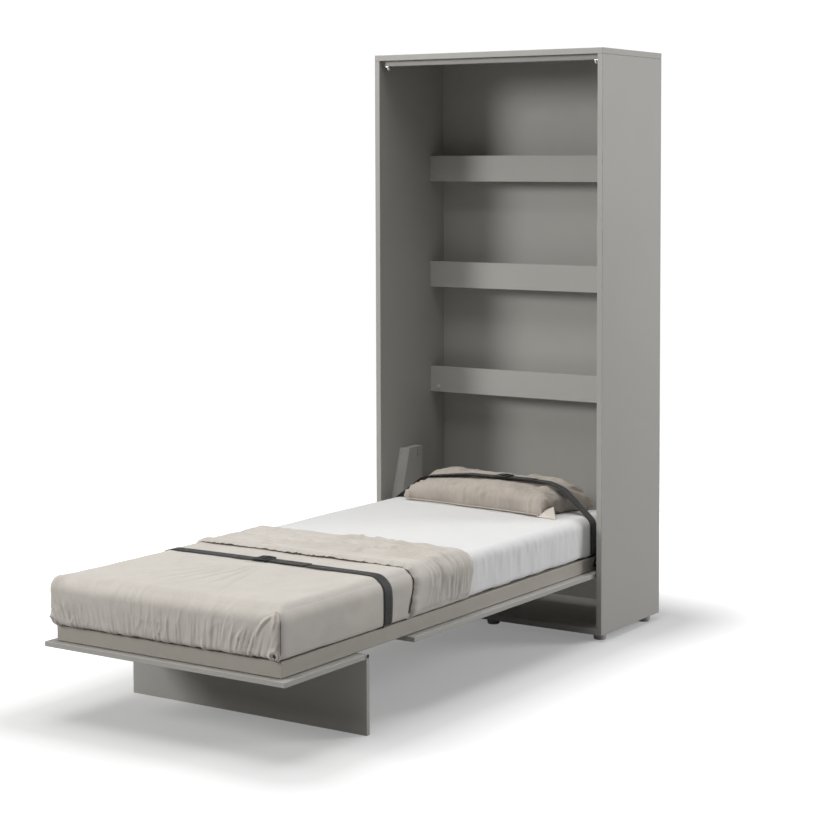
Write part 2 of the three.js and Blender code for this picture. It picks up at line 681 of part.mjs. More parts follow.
// A band of even thickness along an outer path given in (x, z), STRAP.width wide along Y.
function band(path, y) {
  const points = path.map(([x, z]) => new THREE.Vector2(x, z));
  const outer = points.map((point, i) => {
    const before = points[Math.max(i - 1, 0)];
    const after = points[Math.min(i + 1, points.length - 1)];
    const along = after.clone().sub(before).normalize();
    return point.clone().add(new THREE.Vector2(-along.y, along.x).multiplyScalar(STRAP.thickness));
  });
  const shape = new THREE.Shape([...points, ...outer.reverse()]);
  const geometry = new THREE.ExtrudeGeometry(shape, { depth: STRAP.width, bevelEnabled: false });
  return geometry.rotateX(Math.PI / 2).translate(0, y + STRAP.width / 2, 0);
}

const footStrapY = facadeFootY + FOOT_STRAP_FROM_FOOT;
const footStrapTop = spreadTop + STRAP.gap;

function footStrap() {
  const x = coverHalf + STRAP.gap;
  const { shoulder } = STRAP;
  const path = [
    [-x, hemZ], [-x, footStrapTop - shoulder], [-x + shoulder, footStrapTop],
    [x - shoulder, footStrapTop], [x, footStrapTop - shoulder], [x, hemZ],
  ];
  return mesh('strap_foot', band(path, footStrapY), FINISH.webbing);
}

// Highest point of the pillow under the strap's width, at one x.
function pillowTopUnderStrap(x) {
  const turn = THREE.MathUtils.degToRad(-PILLOW.turn);
  let top = mattressTop;
  for (const edge of [-0.5, -0.25, 0, 0.25, 0.5]) {
    const dx = x - PILLOW.x;
    const dy = HEAD_STRAP_Y + edge * STRAP.width - PILLOW.y;
    const rise = pillowRise(
      dx * Math.cos(turn) - dy * Math.sin(turn),
      dx * Math.sin(turn) + dy * Math.cos(turn),
    );
    top = Math.max(top, rise > 0 ? pillowZ + rise : mattressTop);
  }
  return top;
}

// Rope-pulled-tight path over the given points: their upper hull, left to right.
function upperHull(points) {
  const hull = [];
  for (const point of points) {
    while (hull.length > 1) {
      const [a, b] = hull.slice(-2);
      const turn = (b[0] - a[0]) * (point[1] - a[1]) - (b[1] - a[1]) * (point[0] - a[0]);
      if (turn < 0) break;
      hull.pop();
    }
    hull.push(point);
  }
  return hull;
}

function headStrap() {
  const x = MATTRESS.width / 2 + STRAP.gap;
  const shoulder = MATTRESS.chamfer;
  const samples = [];
  for (let step = -STRAP.samples; step <= STRAP.samples; step += 1) {
    const place = (step / STRAP.samples) * (MATTRESS.width / 2 - shoulder);
    samples.push([place, pillowTopUnderStrap(place) + STRAP.pillowGap]);
  }
  const overTop = upperHull([[-x, mattressTop - shoulder], ...samples, [x, mattressTop - shoulder]]);
  const path = [[-x, railTop + GAP], ...overTop, [x, railTop + GAP]];
  return mesh('strap_head', band(path, HEAD_STRAP_Y), FINISH.webbing);
}

// Three-bar slide buckle lying on a strap.
function buckle(name, x, y, z) {
  const { length, width, thickness, slot, bar } = BUCKLE;
  const slotHalf = width / 2 - bar;
  const plate = box([-length / 2, length / 2], [-width / 2, width / 2], [0, thickness]);
  const slots = [-length / 4, length / 4].map((middle) => box(
    [middle - slot / 2, middle + slot / 2], [-slotHalf, slotHalf], [-CUT, thickness + CUT],
  ));
  const result = mesh(name, cut(plate, ...slots), FINISH.buckle);
  result.position.set(x, y, z);
  return result;
}

function buckles() {
  const headHalf = BUCKLE.length / 2;
  const underBuckle = [-headHalf, 0, headHalf].map((dx) => pillowTopUnderStrap(BUCKLE_X.head + dx));
  const headTop = Math.max(...underBuckle);
  const onStrap = STRAP.thickness + GAP;
  return [
    buckle('buckle_foot', BUCKLE_X.foot, footStrapY, footStrapTop + onStrap),
    buckle('buckle_head', BUCKLE_X.head, HEAD_STRAP_Y, headTop + STRAP.pillowGap + onStrap),
  ];
}

// ---------------------------------------------------------------- assembly
const cabinet = new THREE.Group();
cabinet.add(...carcass(), wallRail(), ...levellingFeet());
for (let index = 0; index < SHELF.count; index += 1) {
  cabinet.add(...shelf(index));
}
cabinet.add(...SIDES.map(topCatch), sideKeeper(), shelfBumper());
cabinet.add(...SIDES.map(mechanismPlate), ...SIDES.map(mechanismCover), ...SIDES.map(pivotBush));

const springs = new THREE.Group();
springs.add(...SIDES.map(gasSpring));

const bed = new THREE.Group();
bed.add(...bedFrame(), slattedBase(), ...facade());
bed.add(...SIDES.map(pivotAxle), ...SIDES.map(liftArm));
bed.add(...SIDES.map(legBracket), ...SIDES.map(legPin));
bed.add(mattress(), bedspread(), pillow(), footStrap(), headStrap(), ...buckles());

const leg = new THREE.Group();
leg.add(legPanel());

// The origin is on the floor, in the middle of the space that the lowered bed takes up.
const wallBed = new THREE.Group();
wallBed.add(cabinet, springs, bed, leg);
wallBed.position.y = -(facadeFootY + CABINET_DEPTH) / 2;

export default wallBed;
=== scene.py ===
"""Looks of a single wall bed, folded down: boards, fittings, bedding and straps around the fixed frame.

The row frame is used throughout: metres, +Z up, +Y towards the wall, +X to the right.
"""

import logging
import math
from dataclasses import dataclass, field
from enum import Enum
from typing import Any, Callable, Iterable, Sequence

import bmesh
import bpy
import numpy as np
from mathutils import Matrix, Vector
from mathutils.bvhtree import BVHTree


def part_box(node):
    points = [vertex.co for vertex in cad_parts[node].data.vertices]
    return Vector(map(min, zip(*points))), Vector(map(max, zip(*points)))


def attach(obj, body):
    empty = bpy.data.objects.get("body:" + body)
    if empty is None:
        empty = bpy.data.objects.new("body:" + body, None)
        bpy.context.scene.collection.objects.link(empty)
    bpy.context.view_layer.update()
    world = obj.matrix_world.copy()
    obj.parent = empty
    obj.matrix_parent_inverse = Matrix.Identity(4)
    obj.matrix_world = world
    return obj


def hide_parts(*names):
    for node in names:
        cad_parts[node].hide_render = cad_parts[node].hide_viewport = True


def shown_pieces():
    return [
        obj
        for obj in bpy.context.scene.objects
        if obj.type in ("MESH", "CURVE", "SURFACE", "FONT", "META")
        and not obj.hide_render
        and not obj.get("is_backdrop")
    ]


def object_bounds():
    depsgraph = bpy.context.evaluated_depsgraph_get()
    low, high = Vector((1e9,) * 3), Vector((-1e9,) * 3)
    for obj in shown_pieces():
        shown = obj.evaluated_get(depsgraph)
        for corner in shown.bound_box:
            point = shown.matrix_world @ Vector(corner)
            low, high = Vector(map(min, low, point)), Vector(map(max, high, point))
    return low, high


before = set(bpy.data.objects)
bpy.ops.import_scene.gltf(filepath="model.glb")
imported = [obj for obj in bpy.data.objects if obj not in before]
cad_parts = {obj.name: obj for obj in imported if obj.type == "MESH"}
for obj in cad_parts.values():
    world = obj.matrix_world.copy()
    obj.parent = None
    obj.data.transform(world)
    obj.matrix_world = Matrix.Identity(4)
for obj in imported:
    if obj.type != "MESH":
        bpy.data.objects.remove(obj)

LOG = logging.getLogger("wall_bed")
MM = 0.001
Colour = tuple[float, float, float]
Place = tuple[float, float, float]
Piece = bpy.types.Object
Socket = bpy.types.NodeSocket
Rows = np.ndarray


class Body(Enum):
    """The bodies that move on their own."""

    CABINET = "cabinet"
    BED = "bed"
    LEG = "leg"


class Side(Enum):
    """Left or right of the bed, seen from its foot."""

    LEFT = -1
    RIGHT = 1

    @property
    def label(self) -> str:
        """The word that ends a piece's name on this side."""
        return self.name.lower()


# --- node writing
class Nodes:
    """Adds nodes to one tree and links them."""

    def __init__(self, tree: bpy.types.NodeTree) -> None:
        """Starts writing in a tree.

        Args:
            tree: The tree that takes the nodes.
        """
        self.tree = tree

    def add(self, kind: str, inputs: dict | None = None, **settings: Any) -> bpy.types.Node:
        """Adds one node.

        Args:
            kind: The node's type.
            inputs: Socket name or number to a value, or to the output that feeds it.
            **settings: The node's own properties.

        Returns:
            The new node.
        """
        node = self.tree.nodes.new(kind)
        for key, value in settings.items():
            setattr(node, key, value)
        for name, value in (inputs or {}).items():
            self._set(node.inputs[name], value)
        return node

    def _set(self, socket: Socket, value: Any) -> None:
        """Links an output to a socket, or gives the socket a value.

        Args:
            socket: The socket.
            value: The output, or the value.
        """
        if isinstance(value, Socket):
            self.tree.links.new(value, socket)
        else:
            socket.default_value = value

    def feed(self, node: bpy.types.Node, **values: Any) -> None:
        """Feeds or sets a node's sockets.

        Args:
            node: The node.
            **values: Socket name, with spaces as underscores, to a value or an output.
        """
        for name, value in values.items():
            self._set(node.inputs[name.replace("_", " ")], value)

    def math(self, operation: str, *values: Any) -> Socket:
        """A Math node's result for one to three values."""
        return self.add("ShaderNodeMath", dict(enumerate(values)), operation=operation).outputs[0]

    def vector(self, operation: str, *values: Any) -> Socket:
        """A Vector Math node's vector for its values."""
        return self.add("ShaderNodeVectorMath", dict(enumerate(values)), operation=operation).outputs[0]

    def mix(self, factor: Any, first: Any, second: Any) -> Socket:
        """Two colours mixed by a factor."""
        node = self.add("ShaderNodeMix", {0: factor, 6: first, 7: second}, data_type="RGBA")
        return node.outputs[2]

    def spread(self, value: Any, low: float, high: float, to_low: Any = 0.0,
               to_high: Any = 1.0) -> Socket:
        """A value from low to high, mapped to to_low to to_high and held there outside."""
        names = {"Value": value, "From Min": low, "From Max": high, "To Min": to_low, "To Max": to_high}
        return self.add("ShaderNodeMapRange", names).outputs[0]

    def noise(self, vector: Any, scale: Any, detail: float = 3.0,
              distortion: float = 0.0) -> Socket:
        """Noise from 0 to 1 at a place."""
        names = {"Vector": vector, "Scale": scale, "Detail": detail, "Distortion": distortion}
        return self.add("ShaderNodeTexNoise", names).outputs[0]

    def place(self) -> Socket:
        """The surface point in Object coordinates, which are metres in the row frame."""
        return self.add("ShaderNodeTexCoord").outputs["Object"]

    def bump(self, height: Any, distance: float, strength: float = 1.0) -> Socket:
        """A normal from a height, whose full step is distance metres."""
        names = {"Height": height, "Distance": distance, "Strength": strength}
        return self.add("ShaderNodeBump", names).outputs[0]


@dataclass(frozen=True)
class ShaderGroup:
    """A shader node group that several finishes share."""

    name: str
    inputs: dict[str, float | Colour | None]
    outputs: tuple[str, ...]
    write: Callable[[Nodes, Any], dict]

    def tree(self) -> bpy.types.NodeTree:
        """Builds the group once and gives it back after that.

        Returns:
            The group's node tree.
        """
        found = bpy.data.node_groups.get(self.name)
        if found:
            return found
        tree = bpy.data.node_groups.new(self.name, "ShaderNodeTree")
        for name, value in self.inputs.items():
            kind = "NodeSocketVector" if value is None else "NodeSocketFloat"
            socket = tree.interface.new_socket(name=name, in_out="INPUT", socket_type=kind)
            if value is not None:
                socket.default_value = value
        for name in self.outputs:
            tree.interface.new_socket(name=name, in_out="OUTPUT", socket_type="NodeSocketFloat")
        nodes = Nodes(tree)
        nodes.add("NodeGroupOutput", self.write(nodes, nodes.add("NodeGroupInput").outputs))
        return tree

    def into(self, nodes: Nodes, **values: Any) -> bpy.types.Node:
        """Places the group in a material.

        Args:
            nodes: The material's tree.
            **values: Input name, with spaces as underscores, to its value.

        Returns:
            The group node, whose outputs are the masks and heights.
        """
        node = nodes.tree.nodes.new("ShaderNodeGroup")
        node.node_tree = self.tree()
        nodes.feed(node, **values)
        return node


def _edge_wear(nodes: Nodes, given: Any) -> dict:
    """Lighter edges, partly rubbed wear and partly a painted highlight where the bevels catch the light: the
    bevelled normal against the flat one, broken up by noise.

    Args:
        nodes: The group's tree.
        given: Its inputs.

    Returns:
        Output name to the socket that feeds it.
    """
    bevelled = nodes.add("ShaderNodeBevel", {"Radius": given["Width"]}, samples=4).outputs[0]
    plain = nodes.add("ShaderNodeNewGeometry").outputs["Normal"]
    dot = nodes.add("ShaderNodeVectorMath", {0: bevelled, 1: plain}, operation="DOT_PRODUCT").outputs["Value"]
    edge = nodes.spread(dot, 0.999, 0.93)
    breakup = nodes.spread(nodes.noise(given["Place"], 45.0, 4.0), 0.36, 0.62)
    return {"Mask": nodes.math("MULTIPLY", edge, breakup)}


def _mottle(nodes: Nodes, given: Any) -> dict:
    """Slow change of tone over a surface, about 1.

    Args:
        nodes: The group's tree.
        given: Its inputs.

    Returns:
        Output name to the socket that feeds it.
    """
    broad = nodes.noise(given["Place"], given["Scale"], 2.0)
    fine = nodes.noise(given["Place"], nodes.math("MULTIPLY", given["Scale"], 9.0), 3.0)
    both = nodes.math("ADD", nodes.math("MULTIPLY", broad, 0.7), nodes.math("MULTIPLY", fine, 0.3))
    centred = nodes.math("SUBTRACT", both, 0.5)
    tone = nodes.math("ADD", nodes.math("MULTIPLY", centred, given["Contrast"]), 1.0)
    return {"Tone": tone, "Fine": fine}


def _pearl(nodes: Nodes, given: Any) -> dict:
    """The fine pebble of a pressed laminate or powder coat.

    Args:
        nodes: The group's tree.
        given: Its inputs.

    Returns:
        Output name to the socket that feeds it.
    """
    cells = nodes.add("ShaderNodeTexVoronoi", {"Vector": given["Place"], "Scale": given["Scale"]},
                      feature="SMOOTH_F1").outputs["Distance"]
    flow = nodes.noise(given["Place"], nodes.math("MULTIPLY", given["Scale"], 0.35), 2.0)
    height = nodes.math("ADD", nodes.math("MULTIPLY", cells, 0.6), nodes.math("MULTIPLY", flow, 0.8))
    return {"Height": height}


def _dust(nodes: Nodes, given: Any) -> dict:
    """Fine dust that settles on faces that look up, in soft patches.

    Args:
        nodes: The group's tree.
        given: Its inputs.

    Returns:
        Output name to the socket that feeds it.
    """
    normal = nodes.add("ShaderNodeNewGeometry").outputs["Normal"]
    up = nodes.spread(nodes.add("ShaderNodeSeparateXYZ", {0: normal}).outputs["Z"], 0.6, 1.0)
    patches = nodes.spread(nodes.noise(given["Place"], 14.0, 5.0), 0.35, 0.75)
    return {"Mask": nodes.math("MULTIPLY", nodes.math("MULTIPLY", up, patches), given["Amount"])}


def _plain_weave(nodes: Nodes, given: Any) -> dict:
    """Threads over and under each other, from two lengths along the cloth in metres.

    Args:
        nodes: The group's tree.
        given: Its inputs.

    Returns:
        Output name to the socket that feeds it.
    """
    across, along = (
        nodes.math("MULTIPLY", nodes.math("DIVIDE", given[name], given["Thread"]), math.pi)
        for name in ("Across", "Along")
    )
    warp = nodes.math("ABSOLUTE", nodes.math("SINE", across))
    weft = nodes.math("ABSOLUTE", nodes.math("SINE", along))
    over = nodes.math("MULTIPLY", nodes.math("SINE", across), nodes.math("SINE", along))
    height = nodes.math("ADD", nodes.math("MULTIPLY", nodes.math("ADD", warp, weft), 0.3),
                        nodes.math("MULTIPLY", over, 0.25))
    return {"Height": height}


def _nap(nodes: Nodes, given: Any) -> dict:
    """Brushed pile: fine fibres, and soft marks where the pile lies another way.

    Args:
        nodes: The group's tree.
        given: Its inputs.

    Returns:
        Output name to the socket that feeds it.
    """
    bent = nodes.noise(given["Place"], 5.0, 3.0, 0.6)
    brushed = nodes.add("ShaderNodeMapping", {0: given["Place"], 3: (1.0, 0.45, 0.7)}).outputs[0]
    marks = nodes.noise(brushed, 17.0, 5.0, 1.4)
    fibre = nodes.noise(given["Place"], given["Fibre Scale"], 3.0)
    lying = nodes.math("ADD", nodes.math("MULTIPLY", bent, 0.4), nodes.math("MULTIPLY", marks, 0.6))
    return {"Lying": nodes.spread(lying, 0.33, 0.67), "Fibre": fibre}


EDGE_WEAR_AND_HIGHLIGHT = ShaderGroup("Edge Wear", {"Place": None, "Width": 0.001}, ("Mask",), _edge_wear)
MOTTLE = ShaderGroup("Mottle", {"Place": None, "Scale": 3.0, "Contrast": 0.1}, ("Tone", "Fine"), _mottle)
PEARL = ShaderGroup("Pearl", {"Place": None, "Scale": 1400.0}, ("Height",), _pearl)
DUST = ShaderGroup("Settled Dust", {"Place": None, "Amount": 0.1}, ("Mask",), _dust)
WEAVE = ShaderGroup("Plain Weave", {"Across": 0.0, "Along": 0.0, "Thread": 0.0005}, ("Height",), _plain_weave)
NAP = ShaderGroup("Brushed Nap", {"Place": None, "Fibre Scale": 900.0}, ("Lying", "Fibre"), _nap)


# --- finishes
def scaled(colour: Colour, by: float) -> tuple[float, float, float, float]:
    """A colour times a number, with full alpha."""
    return (*(min(1.0, channel * by) for channel in colour), 1.0)


class Finish:
    """A material made once, for pieces that share it."""

    name: str

    def material(self) -> bpy.types.Material:
        """Builds the material, or gives back the one made before.

        Returns:
            The finish's material.
        """
        found = bpy.data.materials.get(self.name)
        if found:
            return found
        material = bpy.data.materials.new(self.name)
        material.use_nodes = True
        nodes = Nodes(material.node_tree)
        shader = material.node_tree.nodes["Principled BSDF"]
        self.dress(nodes, shader)
        return material

    def dress(self, nodes: Nodes, shader: bpy.types.Node) -> None:
        """Writes the finish's own nodes and feeds the shader.

        Args:
            nodes: The material's tree.
            shader: Its Principled BSDF.
        """
        raise NotImplementedError


@dataclass(frozen=True)
class Laminate(Finish):
    """Matt laminate pressed on board: an even warm grey with a fine pebble, and edges painted lighter, partly
    for rubbed wear and partly as a painted highlight.
    """

    name: str
    colour: Colour
    roughness: float = 0.5
    pebble: float = 0.00004
    wear: float = 0.28
    dust: float = 0.05

    def dress(self, nodes: Nodes, shader: bpy.types.Node) -> None:
        """Writes the laminate's nodes.

        Args:
            nodes: The material's tree.
            shader: Its Principled BSDF.
        """
        place = nodes.place()
        mottle = MOTTLE.into(nodes, Place=place, Scale=2.2, Contrast=0.16)
        wear = EDGE_WEAR_AND_HIGHLIGHT.into(nodes, Place=place, Width=0.0014)
        dust = DUST.into(nodes, Place=place, Amount=self.dust)
        toned = nodes.mix(nodes.spread(mottle.outputs["Tone"], 0.92, 1.08), scaled(self.colour, 0.93),
                          scaled(self.colour, 1.07))
        # painted highlight along the edges, partly standing for rubbed wear
        lightened = nodes.mix(nodes.math("MULTIPLY", wear.outputs[0], self.wear), toned, scaled(self.colour, 1.6))
        dusty = nodes.mix(dust.outputs[0], lightened, scaled((0.6, 0.58, 0.54), 1.0))
        pearl = PEARL.into(nodes, Place=place, Scale=1500.0)
        rough = nodes.spread(mottle.outputs["Fine"], 0.3, 0.7, self.roughness - 0.04, self.roughness + 0.05)
        nodes.feed(shader, Base_Color=dusty, Roughness=rough, Specular_IOR_Level=0.35,
                  Normal=nodes.bump(pearl.outputs[0], self.pebble))


@dataclass(frozen=True)
class CoatedSteel(Finish):
    """Satin powder coat on steel: beige grey, a little speckled, with chipped edges."""

    name: str
    colour: Colour
    roughness: float = 0.36
    metallic: float = 0.25
    chips: float = 0.3

    def dress(self, nodes: Nodes, shader: bpy.types.Node) -> None:
        """Writes the coat's nodes.

        Args:
            nodes: The material's tree.
            shader: Its Principled BSDF.
        """
        place = nodes.place()
        mottle = MOTTLE.into(nodes, Place=place, Scale=5.0, Contrast=0.2)
        wear = EDGE_WEAR_AND_HIGHLIGHT.into(nodes, Place=place, Width=0.0012)
        pearl = PEARL.into(nodes, Place=place, Scale=900.0)
        speck = nodes.spread(nodes.noise(place, 700.0, 2.0), 0.62, 0.72, 0.0, 0.35)
        toned = nodes.mix(nodes.spread(mottle.outputs["Tone"], 0.9, 1.1), scaled(self.colour, 0.9),
                          scaled(self.colour, 1.1))
        specked = nodes.mix(speck, toned, scaled(self.colour, 0.7))
        chipped = nodes.math("MULTIPLY", wear.outputs[0], self.chips)
        lightened = nodes.mix(chipped, specked, scaled(self.colour, 1.5))
        rough = nodes.spread(mottle.outputs["Fine"], 0.3, 0.7, self.roughness - 0.05, self.roughness + 0.08)
        nodes.feed(shader, Base_Color=lightened, Roughness=rough, Metallic=self.metallic,
                  Normal=nodes.bump(pearl.outputs[0], 0.00005))


@dataclass(frozen=True)
class BareMetal(Finish):
    """Zinc-plated or blackened steel, with a crystalline bloom and fine scratches."""

    name: str
    colour: Colour
    roughness: float = 0.3

    def dress(self, nodes: Nodes, shader: bpy.types.Node) -> None:
        """Writes the metal's nodes.

        Args:
            nodes: The material's tree.
            shader: Its Principled BSDF.
        """
        place = nodes.place()
        bloom = nodes.add("ShaderNodeTexVoronoi", {"Vector": place, "Scale": 240.0}).outputs["Color"]
        grain = nodes.add("ShaderNodeMapping", {0: place, 3: (1.0, 1.0, 0.03)}).outputs[0]
        scratches = nodes.noise(grain, 1600.0, 3.0)
        shade = nodes.add("ShaderNodeSeparateColor", {0: bloom}).outputs[0]
        wear = EDGE_WEAR_AND_HIGHLIGHT.into(nodes, Place=place, Width=0.0006)
        toned = nodes.mix(shade, scaled(self.colour, 0.82), scaled(self.colour, 1.12))
        lightened = nodes.mix(nodes.math("MULTIPLY", wear.outputs[0], 0.4), toned, scaled((0.75, 0.75, 0.76), 1.0))
        rough = nodes.spread(scratches, 0.3, 0.7, self.roughness - 0.07, self.roughness + 0.12)
        nodes.feed(shader, Base_Color=lightened, Roughness=rough, Metallic=1.0,
                  Normal=nodes.bump(scratches, 0.00003))


@dataclass(frozen=True)
class MouldedPlastic(Finish):
    """Injection-moulded plastic with a spark-eroded grain."""

    name: str
    colour: Colour
    roughness: float = 0.42
    grain: float = 0.00006

    def dress(self, nodes: Nodes, shader: bpy.types.Node) -> None:
        """Writes the plastic's nodes.

        Args:
            nodes: The material's tree.
            shader: Its Principled BSDF.
        """
        place = nodes.place()
        mottle = MOTTLE.into(nodes, Place=place, Scale=9.0, Contrast=0.2)
        wear = EDGE_WEAR_AND_HIGHLIGHT.into(nodes, Place=place, Width=0.0008)
        pearl = PEARL.into(nodes, Place=place, Scale=1100.0)
        toned = nodes.mix(nodes.spread(mottle.outputs["Tone"], 0.9, 1.1), scaled(self.colour, 0.9),
                          scaled(self.colour, 1.1))
        # painted highlight: the edges are lightened where the bevels catch the light
        lightened = nodes.mix(nodes.math("MULTIPLY", wear.outputs[0], 0.35), toned, scaled(self.colour, 1.7))
        rough = nodes.spread(mottle.outputs["Fine"], 0.3, 0.7, self.roughness - 0.05, self.roughness + 0.07)
        nodes.feed(shader, Base_Color=lightened, Roughness=rough,
                  Normal=nodes.bump(pearl.outputs[0], self.grain))


@dataclass(frozen=True)
class Velvet(Finish):
    """Brushed velvet: a pale beige that shifts where the pile lies another way."""

    name: str
    colour: Colour
    crush: float = 0.09

    def dress(self, nodes: Nodes, shader: bpy.types.Node) -> None:
        """Writes the velvet's nodes.

        Args:
            nodes: The material's tree.
            shader: Its Principled BSDF.
        """
        place = nodes.place()
        nap = NAP.into(nodes, Place=place, Fibre_Scale=850.0)
        mottle = MOTTLE.into(nodes, Place=place, Scale=4.0, Contrast=0.5)
        lying = nodes.mix(nap.outputs["Lying"], scaled(self.colour, 1.0 - self.crush),
                          scaled(self.colour, 1.0 + self.crush))
        cool = (self.colour[0] * 0.97, self.colour[1] * 0.99, self.colour[2] * 1.03)
        cooled = nodes.spread(mottle.outputs["Tone"], 0.85, 1.15, 0.0, 0.5)
        toned = nodes.mix(cooled, lying, scaled(cool, 1.0))
        fibre = nodes.mix(nodes.spread(nap.outputs["Fibre"], 0.35, 0.65), scaled(self.colour, 0.8), toned)
        pile = nodes.mix(0.35, toned, fibre)
        height = nodes.math("ADD", nap.outputs["Fibre"], nodes.math("MULTIPLY", nap.outputs["Lying"], 0.6))
        rough = nodes.spread(nap.outputs["Lying"], 0, 1, 0.82, 0.92)
        nodes.feed(shader, Base_Color=pile, Roughness=rough, Specular_IOR_Level=0.2,
                  Sheen_Weight=0.35, Sheen_Roughness=0.45, Sheen_Tint=(0.95, 0.92, 0.88, 1.0),
                  Normal=nodes.bump(height, 0.0004))


@dataclass(frozen=True)
class Cotton(Finish):
    """Plain-woven cotton, read off the piece's own flat measure."""

    name: str
    colour: Colour
    thread: float = 0.00055
    measure: str = "cloth"
    slub: float = 0.05

    def dress(self, nodes: Nodes, shader: bpy.types.Node) -> None:
        """Writes the cotton's nodes.

        Args:
            nodes: The material's tree.
            shader: Its Principled BSDF.
        """
        place = nodes.place()
        cut = nodes.add("ShaderNodeUVMap", uv_map=self.measure).outputs[0]
        flat = nodes.add("ShaderNodeSeparateXYZ", {0: cut}).outputs
        weave = WEAVE.into(nodes, Across=flat["X"], Along=flat["Y"], Thread=self.thread)
        stretched = nodes.add("ShaderNodeMapping", {0: cut, 3: (1.0, 0.06, 1.0)}).outputs[0]
        slubs = nodes.noise(stretched, 900.0, 2.0)
        mottle = MOTTLE.into(nodes, Place=place, Scale=6.0, Contrast=0.16)
        toned = nodes.mix(nodes.spread(mottle.outputs["Tone"], 0.94, 1.06),
                          scaled(self.colour, 1.0 - self.slub), scaled(self.colour, 1.0))
        # painted shade: the low places between the threads are darkened
        thread_gap_shade = nodes.spread(weave.outputs[0], 0.0, 0.7, 0.16, 0.0)
        woven = nodes.mix(thread_gap_shade, toned, scaled(self.colour, 0.72))
        final = nodes.mix(nodes.spread(slubs, 0.62, 0.75, 0.0, 0.25), woven, scaled(self.colour, 0.9))
        creases = nodes.noise(place, 60.0, 4.0, 0.8)
        fine = nodes.bump(weave.outputs[0], 0.00018)
        soft = nodes.add("ShaderNodeBump", {"Height": creases, "Distance": 0.0007, "Strength": 0.6,
                                            "Normal": fine}).outputs[0]
        rough = nodes.spread(mottle.outputs["Fine"], 0.3, 0.7, 0.78, 0.9)
        nodes.feed(shader, Base_Color=final, Roughness=rough, Specular_IOR_Level=0.25,
                  Sheen_Weight=0.12, Sheen_Roughness=0.5, Normal=soft)


@dataclass(frozen=True)
class Webbing(Finish):
    """Twill-woven strap webbing, ribbed along its length, with firm selvedges."""

    name: str
    colour: Colour
    measure: str = "cloth"
    rib: float = 0.0016

    def dress(self, nodes: Nodes, shader: bpy.types.Node) -> None:
        """Writes the webbing's nodes.

        Args:
            nodes: The material's tree.
            shader: Its Principled BSDF.
        """
        cut = nodes.add("ShaderNodeUVMap", uv_map=self.measure).outputs[0]
        flat = nodes.add("ShaderNodeSeparateXYZ", {0: cut}).outputs
        across, along = flat["X"], flat["Y"]
        twill = nodes.math("ADD", nodes.math("MULTIPLY", across, math.tau / self.rib),
                           nodes.math("MULTIPLY", along, math.tau / self.rib * 0.6))
        diagonal = nodes.math("SINE", twill)
        ribs = nodes.math("SINE", nodes.math("MULTIPLY", across, math.tau / self.rib * 0.5))
        fuzz = nodes.noise(nodes.place(), 1300.0, 3.0)
        height = nodes.math("ADD", nodes.math("MULTIPLY", diagonal, 0.35), nodes.math("MULTIPLY", ribs, 0.3))
        # painted highlight and shade: the raised weave is lighter and its hollows darker
        raised = nodes.spread(height, -0.6, 0.6, 0.25, 0.75)
        tone = nodes.math("ADD", raised, nodes.math("MULTIPLY", fuzz, 0.3))
        base = nodes.mix(tone, scaled(self.colour, 0.62), scaled(self.colour, 1.45))
        mottle = MOTTLE.into(nodes, Place=nodes.place(), Scale=11.0, Contrast=0.4)
        rubbed = nodes.spread(mottle.outputs["Tone"], 0.9, 1.15, 0.0, 0.35)
        lightened = nodes.mix(rubbed, base, scaled(self.colour, 1.7))
        nodes.feed(shader, Base_Color=lightened, Roughness=nodes.spread(fuzz, 0.3, 0.7, 0.55, 0.7),
                  Sheen_Weight=0.3, Sheen_Roughness=0.35, Normal=nodes.bump(height, 0.00045))


@dataclass(frozen=True)
class BirchPly(Finish):
    """Steam-bent birch slats, grain along X, lightly lacquered."""

    name: str
    colour: Colour
    ply: float = 0.0026

    def dress(self, nodes: Nodes, shader: bpy.types.Node) -> None:
        """Writes the wood's nodes.

        Args:
            nodes: The material's tree.
            shader: Its Principled BSDF.
        """
        place = nodes.place()
        along = nodes.add("ShaderNodeMapping", {0: place, 3: (0.05, 1.0, 1.0)}).outputs[0]
        grain = nodes.noise(along, 160.0, 5.0, 0.6)
        pores = nodes.noise(along, 900.0, 2.0)
        height = nodes.add("ShaderNodeSeparateXYZ", {0: place}).outputs["Z"]
        plies = nodes.math("SINE", nodes.math("MULTIPLY", height, math.tau / self.ply))
        wood = nodes.mix(nodes.spread(grain, 0.35, 0.65), scaled(self.colour, 0.78), scaled(self.colour, 1.1))
        pored = nodes.mix(nodes.spread(pores, 0.6, 0.75, 0.0, 0.4), wood, scaled(self.colour, 0.55))
        layered = nodes.mix(nodes.spread(plies, 0.2, 1.0, 0.0, 0.12), pored, scaled(self.colour, 0.5))
        nodes.feed(shader, Base_Color=layered, Roughness=nodes.spread(grain, 0.3, 0.7, 0.42, 0.58),
                  Coat_Weight=0.15, Normal=nodes.bump(pores, 0.0001))


